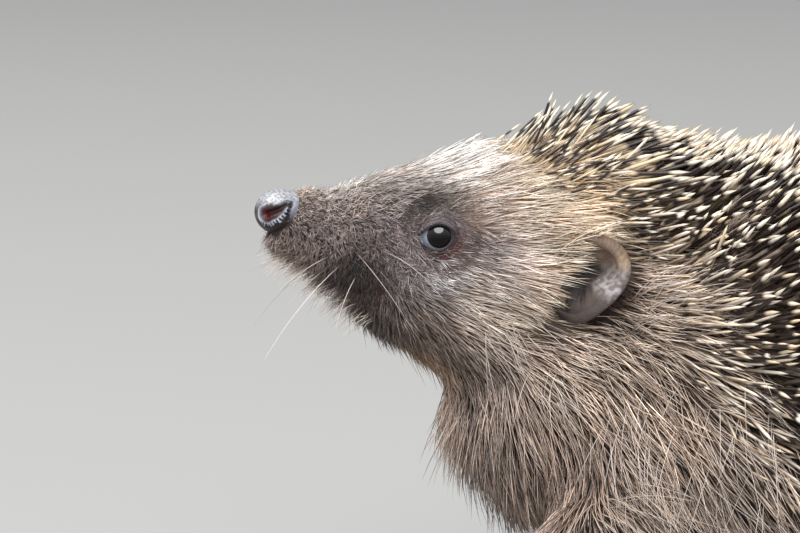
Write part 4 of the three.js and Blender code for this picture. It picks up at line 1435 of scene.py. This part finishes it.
class NosePad:
    """Points all over the pad, and how much of each of its marks lies at each of them."""

    def __init__(self):
        # The poles of the ball lie in front and behind, so the folds at its sides get an even mesh.
        polar = np.linspace(0, np.pi, NOSE_RINGS + 2)[1:-1, None]
        turn = turns(NOSE_AROUND)[None]
        ways = (-np.cos(polar), np.sin(polar) * np.cos(turn), np.sin(polar) * np.sin(turn))
        self.ways = np.stack(np.broadcast_arrays(*ways), axis=-1).reshape(-1, 3)
        self.places = self.ways * NOSE_RADIUS
        self.sides = np.abs(self.places) * [0, 1, 0] + self.places * [1, 0, 1]
        self.mark_nostril()
        self.mark_rim()
        self.slit = near_path(self.sides, nose_path(SLIT))
        self.cut = bell(self.slit, 0.24)
        self.furrow = bell(near_path(self.places, nose_path(FURROW)), 0.3)
        self.high = smoothstep(0.05, 0.7, self.ways[:, 2])
        self.low = smoothstep(0.05, 0.45, -self.ways[:, 2])

    def mark_nostril(self):
        self.nostril, self.along = on_path(self.sides, nose_path(NOSTRIL))
        self.channel = bell(self.nostril, 0.8 - 0.38 * self.along)
        self.pit = bell(np.linalg.norm(self.sides - nose_path(NOSTRIL)[0], axis=1), 0.85)

    def mark_rim(self):
        """Raised folds round the nostril, painted white in part as their wet highlight: a line, a stripe in
        front, and a comb of teeth behind, with painted shade in the gaps between the teeth.
        """
        from_rim, self.along_rim = on_path(self.sides, nose_path(RIM))
        rim_distance = near_path(nose_path(RIM), nose_path(NOSTRIL))
        outside = self.nostril - np.interp(self.along_rim, np.linspace(0, 1, len(RIM)), rim_distance)
        at_rim = from_rim < RIM_REACH
        comb = smoothstep(FRONT_STRIPE, FRONT_STRIPE + 0.05, self.along_rim)
        toothing = np.sin(np.pi * TEETH * (self.along_rim - FRONT_STRIPE) / (1 - FRONT_STRIPE)) ** 2
        teeth = smoothstep(0.25, 0.7, toothing)
        tooth_length = 0.75 + 0.2 * np.sin(37 * self.along_rim)
        reach = at_rim * smoothstep(-0.15, 0.05, outside)
        reach = reach * (1 - smoothstep(tooth_length - 0.2, tooth_length + 0.1, outside))
        line = at_rim * bell(outside, 0.17) * (0.6 + 0.4 * np.sin(21 * self.along_rim + 1) ** 2)
        stripe = at_rim * bell(outside, 0.24, 0.1) * (1 - comb)
        self.white = np.maximum(np.maximum(0.7 * line, stripe), teeth * reach * comb)
        self.gaps = (1 - teeth) * reach * comb * (1 - 0.75 * line)
        self.inner = smoothstep(0.15, -0.5, outside) * (self.ways[:, 0] < 0.35)

    def vertices(self):
        pebbles = ripple(self.places, 0.28) * ripple(self.places, 0.21, 2.0)
        rise = (-1.9 * self.channel * (1 - 0.5 * self.along) - 0.3 * self.inner + 0.22 * self.white
                - 0.2 * self.gaps - 0.9 * self.cut - 0.38 * self.furrow
                + 0.05 * pebbles * (1 - self.channel))
        rise *= 1 - smoothstep(0.45, 0.75, self.ways[:, 0])
        local = self.ways * (NOSE_SIZE + rise[:, None])
        local[:, 0] += NOSE_BACK * smoothstep(0.0, 0.9, self.ways[:, 0])
        poles = np.array([NOSE - NOSE_RADIUS * BACK, NOSE + NOSE_RADIUS * BACK])
        return np.concatenate([NOSE + local @ np.array([BACK, LEFT, UP]), poles])

    def colours(self):
        mottle = ripple(self.places, 0.3, 0.4) + 0.5 * ripple(self.places, 0.17, 1.3)
        beside_slit = (bell(self.slit, 0.55, 0.7) * smoothstep(-0.1, 0.25, self.ways[:, 0])
                       * smoothstep(-0.5, 0.3, self.ways[:, 2]))
        colours = painted(
            np.tile(linear(NOSE_DARK), (len(self.ways), 1)),
            # painted pale sheen over the top of the pad
            ("#b3b4b9", self.high * (0.5 + 0.5 * smoothstep(-0.4, 0.4, mottle))),
            # a painted bluish sheen beside the slit
            ("#8d94a6", beside_slit * 0.7),
            ("#22100c", self.low * 0.97),
            ("#35191a", self.inner * 0.85),
            # painted shade in the gaps between the teeth
            ("#170b0a", self.gaps),
            # the folds painted pale: in part their own lighter skin, in part a painted wet highlight
            ("#b4bac6", self.white * (0.8 + 0.2 * np.sin(11 * self.along_rim))),
            ("#3c1a17", self.channel * (1 - 0.3 * self.along)),
            ("#640a09", self.pit),
            # the slit painted nearly black, as shade in it
            ("#0e0808", self.cut),
            # painted shade along the furrow
            ("#1a1112", self.furrow * 0.7))
        return np.concatenate([colours, [linear(NOSE_DARK)] * 2])

    def gloss(self):
        gloss = ((0.25 + 0.75 * self.high) * (1 - 0.8 * self.low) * (1 - 0.85 * self.channel)
                 * (1 - 0.6 * self.inner) * (1 - self.cut))
        return np.append(np.maximum(gloss, 0.6 * self.white), [0.3, 0.3])


def add_nose():
    pad = NosePad()
    nose = glossy_object("nose_pad", pad.vertices(), closed_tube(NOSE_RINGS, NOSE_AROUND),
                         pad.colours(), pad.gloss())
    nose.data.materials.append(nose_material())
    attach(nose, "root")
    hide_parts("nose")


# Claws: curved and tapering, rooted in the toes

CLAW_RINGS, CLAW_SIDES = 14, 12
CLAW_ROOT = 1.2  # how far back into the toe a claw begins
CLAW_DROP = 0.3  # of its tip, under the solid claw's
CLAW_ARCH = 0.5
CLAW_NARROW = 0.8  # its width for its height
CLAW_TIP = 0.03
CLAW_FLOOR = 0.02
CLAW_BASE_COLOUR, CLAW_TIP_COLOUR = "#4a3a30", "#b09a7c"


def claw(node, foot):
    vertices, _ = mesh_arrays(bpy.data.objects[node].data)
    away = np.linalg.norm((vertices - centre_of(f"foot_{foot}"))[:, :2], axis=1)
    tip = vertices[away.argmax()]
    root = vertices[away < away.min() + 0.6].mean(0)
    forward = unit((tip - root) * [1, 1, 0])
    sideways = np.array([-forward[1], forward[0], 0])
    length = (tip - root) @ forward
    radius = np.ptp(vertices @ sideways) / 2
    share = np.linspace(0, 1, CLAW_RINGS)
    middle = root + (share * (length + CLAW_ROOT) - CLAW_ROOT)[:, None] * forward
    middle[:, 2] += (tip[2] - CLAW_DROP - root[2]) * share ** 1.8 + CLAW_ARCH * np.sin(np.pi * share)
    girth = radius * (1 - share ** 1.7) ** 0.8 + CLAW_TIP
    turn = turns(CLAW_SIDES)[:, None]
    rings = (middle[:, None] + girth[:, None, None] * (CLAW_NARROW * np.cos(turn) * sideways
                                                       + np.sin(turn) * UP))
    rings[..., 2] = np.maximum(rings[..., 2], CLAW_FLOOR)
    tint = painted(np.tile(linear(CLAW_BASE_COLOUR), (CLAW_RINGS, 1)), (CLAW_TIP_COLOUR, share))
    colours = np.concatenate([np.repeat(tint, CLAW_SIDES, axis=0), tint[[0, -1]]])
    return np.concatenate([rings.reshape(-1, 3), middle[[0, -1]]]), colours


def add_claws():
    nodes = {f"claw_{foot}_{toe}": foot for foot in FEET for toe in range(1, 6)}
    made = [claw(node, foot) for node, foot in nodes.items()]
    vertices, triangles = joined([(vertices, closed_tube(CLAW_RINGS, CLAW_SIDES)) for vertices, _ in made])
    claws = make_object("claws", vertices, triangles, np.concatenate([colours for _, colours in made]))
    claws.data.materials.append(claw_material())
    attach(claws, "root")
    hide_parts(*nodes)


# Whiskers, bristles and stray hairs, in the head's own axes

# Whiskers on the lip and muzzle: place, direction and length
WHISKERS = (
    ((10.2, 8.2, -9.4), (-0.72, 0.3, -0.68), 24), ((15.2, 9.4, -8.4), (0.62, 0.35, -0.72), 18),
    ((12.5, 9.0, -6.5), (0.5, 0.5, -0.75), 19), ((17.5, 10.0, -6.5), (0.75, 0.55, -0.35), 17),
    ((8.0, 7.4, -8.0), (-0.85, 0.5, -0.4), 15), ((13.0, 8.8, -11.5), (-0.5, 0.3, -0.85), 12),
    ((19.0, 10.0, -9.5), (0.8, 0.3, -0.55), 15), ((7.0, 6.0, -11.5), (-0.8, 0.35, -0.6), 11),
    ((20.0, 8.0, 4.5), (0.85, 0.3, 0.55), 13), ((26.0, 12.0, -12.5), (0.85, 0.3, -0.45), 14),
)
WHISKER_WIDTH = 0.15
WHISKER_LIFT = math.radians(8)
CHIN_BRISTLES = 340
# Long fine hairs that stray across the coat: how many, where they're rooted (back from, back to, out,
# up from, up to), the two ways that they fan between, and their lengths
STRAY_HAIRS = (
    (190, (60, 80, 28, -28, 6), ((1.0, 0.3, -0.75), (1.0, 0.3, 0.65)), (11, 18)),
    (520, (48, 86, 44, -66, -26), ((1.0, 0.2, -0.35), (-0.25, 0.2, -1.0)), (15, 21)),
    (150, (30, 52, 30, -32, -16), ((1.0, 0.2, -0.1), (0.3, 0.2, -1.0)), (9, 14)),
)
STRAY_LIFT = math.radians(54)
WHISKER_RINGS = 7
WHISKER_ROOT, WHISKER_TIP = "#5d483f", "#ddcfc4"


def both_whiskers():
    for (back, left, up), (way_back, way_left, way_up), length in WHISKERS:
        for side in SIDES.values():
            yield ((back, side * left, up), (way_back, side * way_left, way_up),
                   length * rng.uniform(0.85, 1.1), WHISKER_WIDTH)


def chin_bristles():
    """Fine bristles that point forward and down from the lips and the chin."""
    for _ in range(CHIN_BRISTLES):
        back = rng.uniform(0.5, 17)
        left = rng.uniform(-1, 1) * (2.5 + 0.3 * back)
        way = np.array([-0.9, 0.25 * np.sign(left), -0.45]) + 0.2 * rng.standard_normal(3)
        yield (back, left, -7.0 - 0.85 * back), way, rng.uniform(3.5, 7.0), rng.uniform(0.11, 0.15)


def stray_hairs():
    for count, (back_from, back_to, out, up_from, up_to), fan, lengths in STRAY_HAIRS:
        first, last = np.array(fan)
        for _ in range(count):
            side = rng.choice((1, -1))
            way = first + (last - first) * rng.uniform() + 0.15 * rng.standard_normal(3)
            yield ((rng.uniform(back_from, back_to), side * out, rng.uniform(up_from, up_to)),
                   way * [1, side, 1], rng.uniform(*lengths), rng.uniform(0.12, 0.18))


def nearest_skin(place):
    """Place, normal and face of the skin nearest to a place in the head's own axes."""
    return skin_tree.find_nearest(Vector(from_nose(*place)))[:3]


def add_whiskers():
    strays = [row for row in stray_hairs() if not face_of_ear[nearest_skin(row[0])[2]]]
    rows = [*both_whiskers(), *chin_bristles(), *strays]
    nearest = [nearest_skin(place) for place, *_ in rows]
    roots, normals = (np.array([found[i] for found in nearest]) for i in (0, 1))
    ways = unit(np.array([head_direction(*way) for _, way, *_ in rows]))
    lengths, widths = (np.array([row[i] for row in rows]) for i in (2, 3))
    # Whiskers stand out along their own way, while stray hairs rise out of the coat and lie along it.
    stiff = np.arange(len(rows)) < len(rows) - len(strays)
    normals[stiff] = np.cross(unit(np.cross(ways, UP)), ways)[stiff]
    lift = np.where(stiff, WHISKER_LIFT, STRAY_LIFT)
    curl = np.where(stiff, 2 * WHISKER_LIFT, STRAY_LIFT - WHISKER_LIFT)
    droop = 0.12 * rng.standard_normal((len(roots), 3)) + 0.15 * DOWN
    vertices, triangles, reached = strands(
        roots - WHISKER_DEPTH * np.where(stiff[:, None], ways, normals), normals, ways, lengths, widths,
        lift, curl, droop, WHISKER_SIDES, np.linspace(0, 0.9, WHISKER_RINGS),
        np.linspace(1.0, 0.35, WHISKER_RINGS))
    root, tip = (np.tile(linear(colour), (len(roots), 1)) for colour in (WHISKER_ROOT, WHISKER_TIP))
    colours = shade(root, tip, reached, (0.0, 0.3), 0.2 * rng.standard_normal(len(roots)))
    whiskers = make_object("whiskers", vertices, triangles, colours, bake_map(roots, reached))
    whiskers.data.materials.append(hair_look)
    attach(whiskers, "root")


add_skin()
add_eyes()
add_nose()
add_claws()
add_whiskers()


# Floor, light and camera

FLOOR_HALF = 3000.0
FLOOR_COLOUR = (0.45, 0.447, 0.44)
AMBIENT, BACKDROP = 0.32, 0.5
AMBIENT_COLOUR = (0.95, 0.97, 1.0)
# Each lamp's place, width and height, power and colour
LAMPS = {
    "window": ((-0.45, -2.0, 2.15), (3.0, 2.7), 102, (0.96, 0.98, 1.0)),
    "sky": ((-1.3, 0.1, 2.7), (2.2, 2.2), 58, (1.0, 0.985, 0.96)),
}
AZIMUTH, ELEVATION = math.radians(-4), math.radians(8)
VIEW_DISTANCE, NEAREST_SEEN, LENS, SENSOR = 0.84, 0.01, 200.3, 36
VIEW_TARGET = (NOSE + 22.9 * BACK + np.array([0, -3.1, -10.6])) * MM


def floor():
    corners = [(-1, -1, 0), (1, -1, 0), (1, 1, 0), (-1, 1, 0)]
    obj = make_object("floor", FLOOR_HALF * np.array(corners), np.array([[0, 1, 2, 3]]))
    obj.data.materials.append(Nodes("floor").finish(FLOOR_COLOUR, 0.9, specular=0.1))


def aimed(name, data, place):
    """An object that looks from its place at the middle of the view."""
    obj = bpy.data.objects.new(name, data)
    bpy.context.scene.collection.objects.link(obj)
    obj.location = place
    obj.rotation_euler = (Vector(VIEW_TARGET) - Vector(place)).to_track_quat("-Z", "Y").to_euler()
    return obj


def area_lamp(name, place, size, power, colour):
    lamp = bpy.data.lights.new(name, "AREA")
    lamp.shape = "ELLIPSE"
    lamp.size, lamp.size_y = size
    lamp.energy = power
    lamp.color = colour
    aimed(name, lamp, place)


def world():
    """Even light from all round, and a paler backdrop where it's seen directly or reflected."""
    made = bpy.data.worlds.new("studio")
    made.use_nodes = True
    tree = made.node_tree
    background = tree.nodes["Background"]
    background.inputs["Color"].default_value = (*AMBIENT_COLOUR, 1.0)
    ray = tree.nodes.new("ShaderNodeLightPath")
    seen = tree.nodes.new("ShaderNodeMath")
    seen.operation = "MAXIMUM"
    tree.links.new(ray.outputs["Is Camera Ray"], seen.inputs[0])
    tree.links.new(ray.outputs["Is Glossy Ray"], seen.inputs[1])
    strength = tree.nodes.new("ShaderNodeMapRange")
    strength.inputs["To Min"].default_value = AMBIENT
    strength.inputs["To Max"].default_value = BACKDROP
    tree.links.new(seen.outputs[0], strength.inputs["Value"])
    tree.links.new(strength.outputs["Result"], background.inputs["Strength"])
    bpy.context.scene.world = made


def camera():
    data = bpy.data.cameras.new("camera")
    data.lens = LENS
    data.sensor_width = SENSOR
    data.clip_start = NEAREST_SEEN
    away = np.array([math.sin(AZIMUTH) * math.cos(ELEVATION), -math.cos(AZIMUTH) * math.cos(ELEVATION),
                     math.sin(ELEVATION)])
    bpy.context.scene.camera = aimed("camera", data, VIEW_TARGET + VIEW_DISTANCE * away)


floor()
world()
for lamp_name, lamp_settings in LAMPS.items():
    area_lamp(lamp_name, *lamp_settings)
camera()
bpy.context.scene.view_settings.view_transform = "Standard"
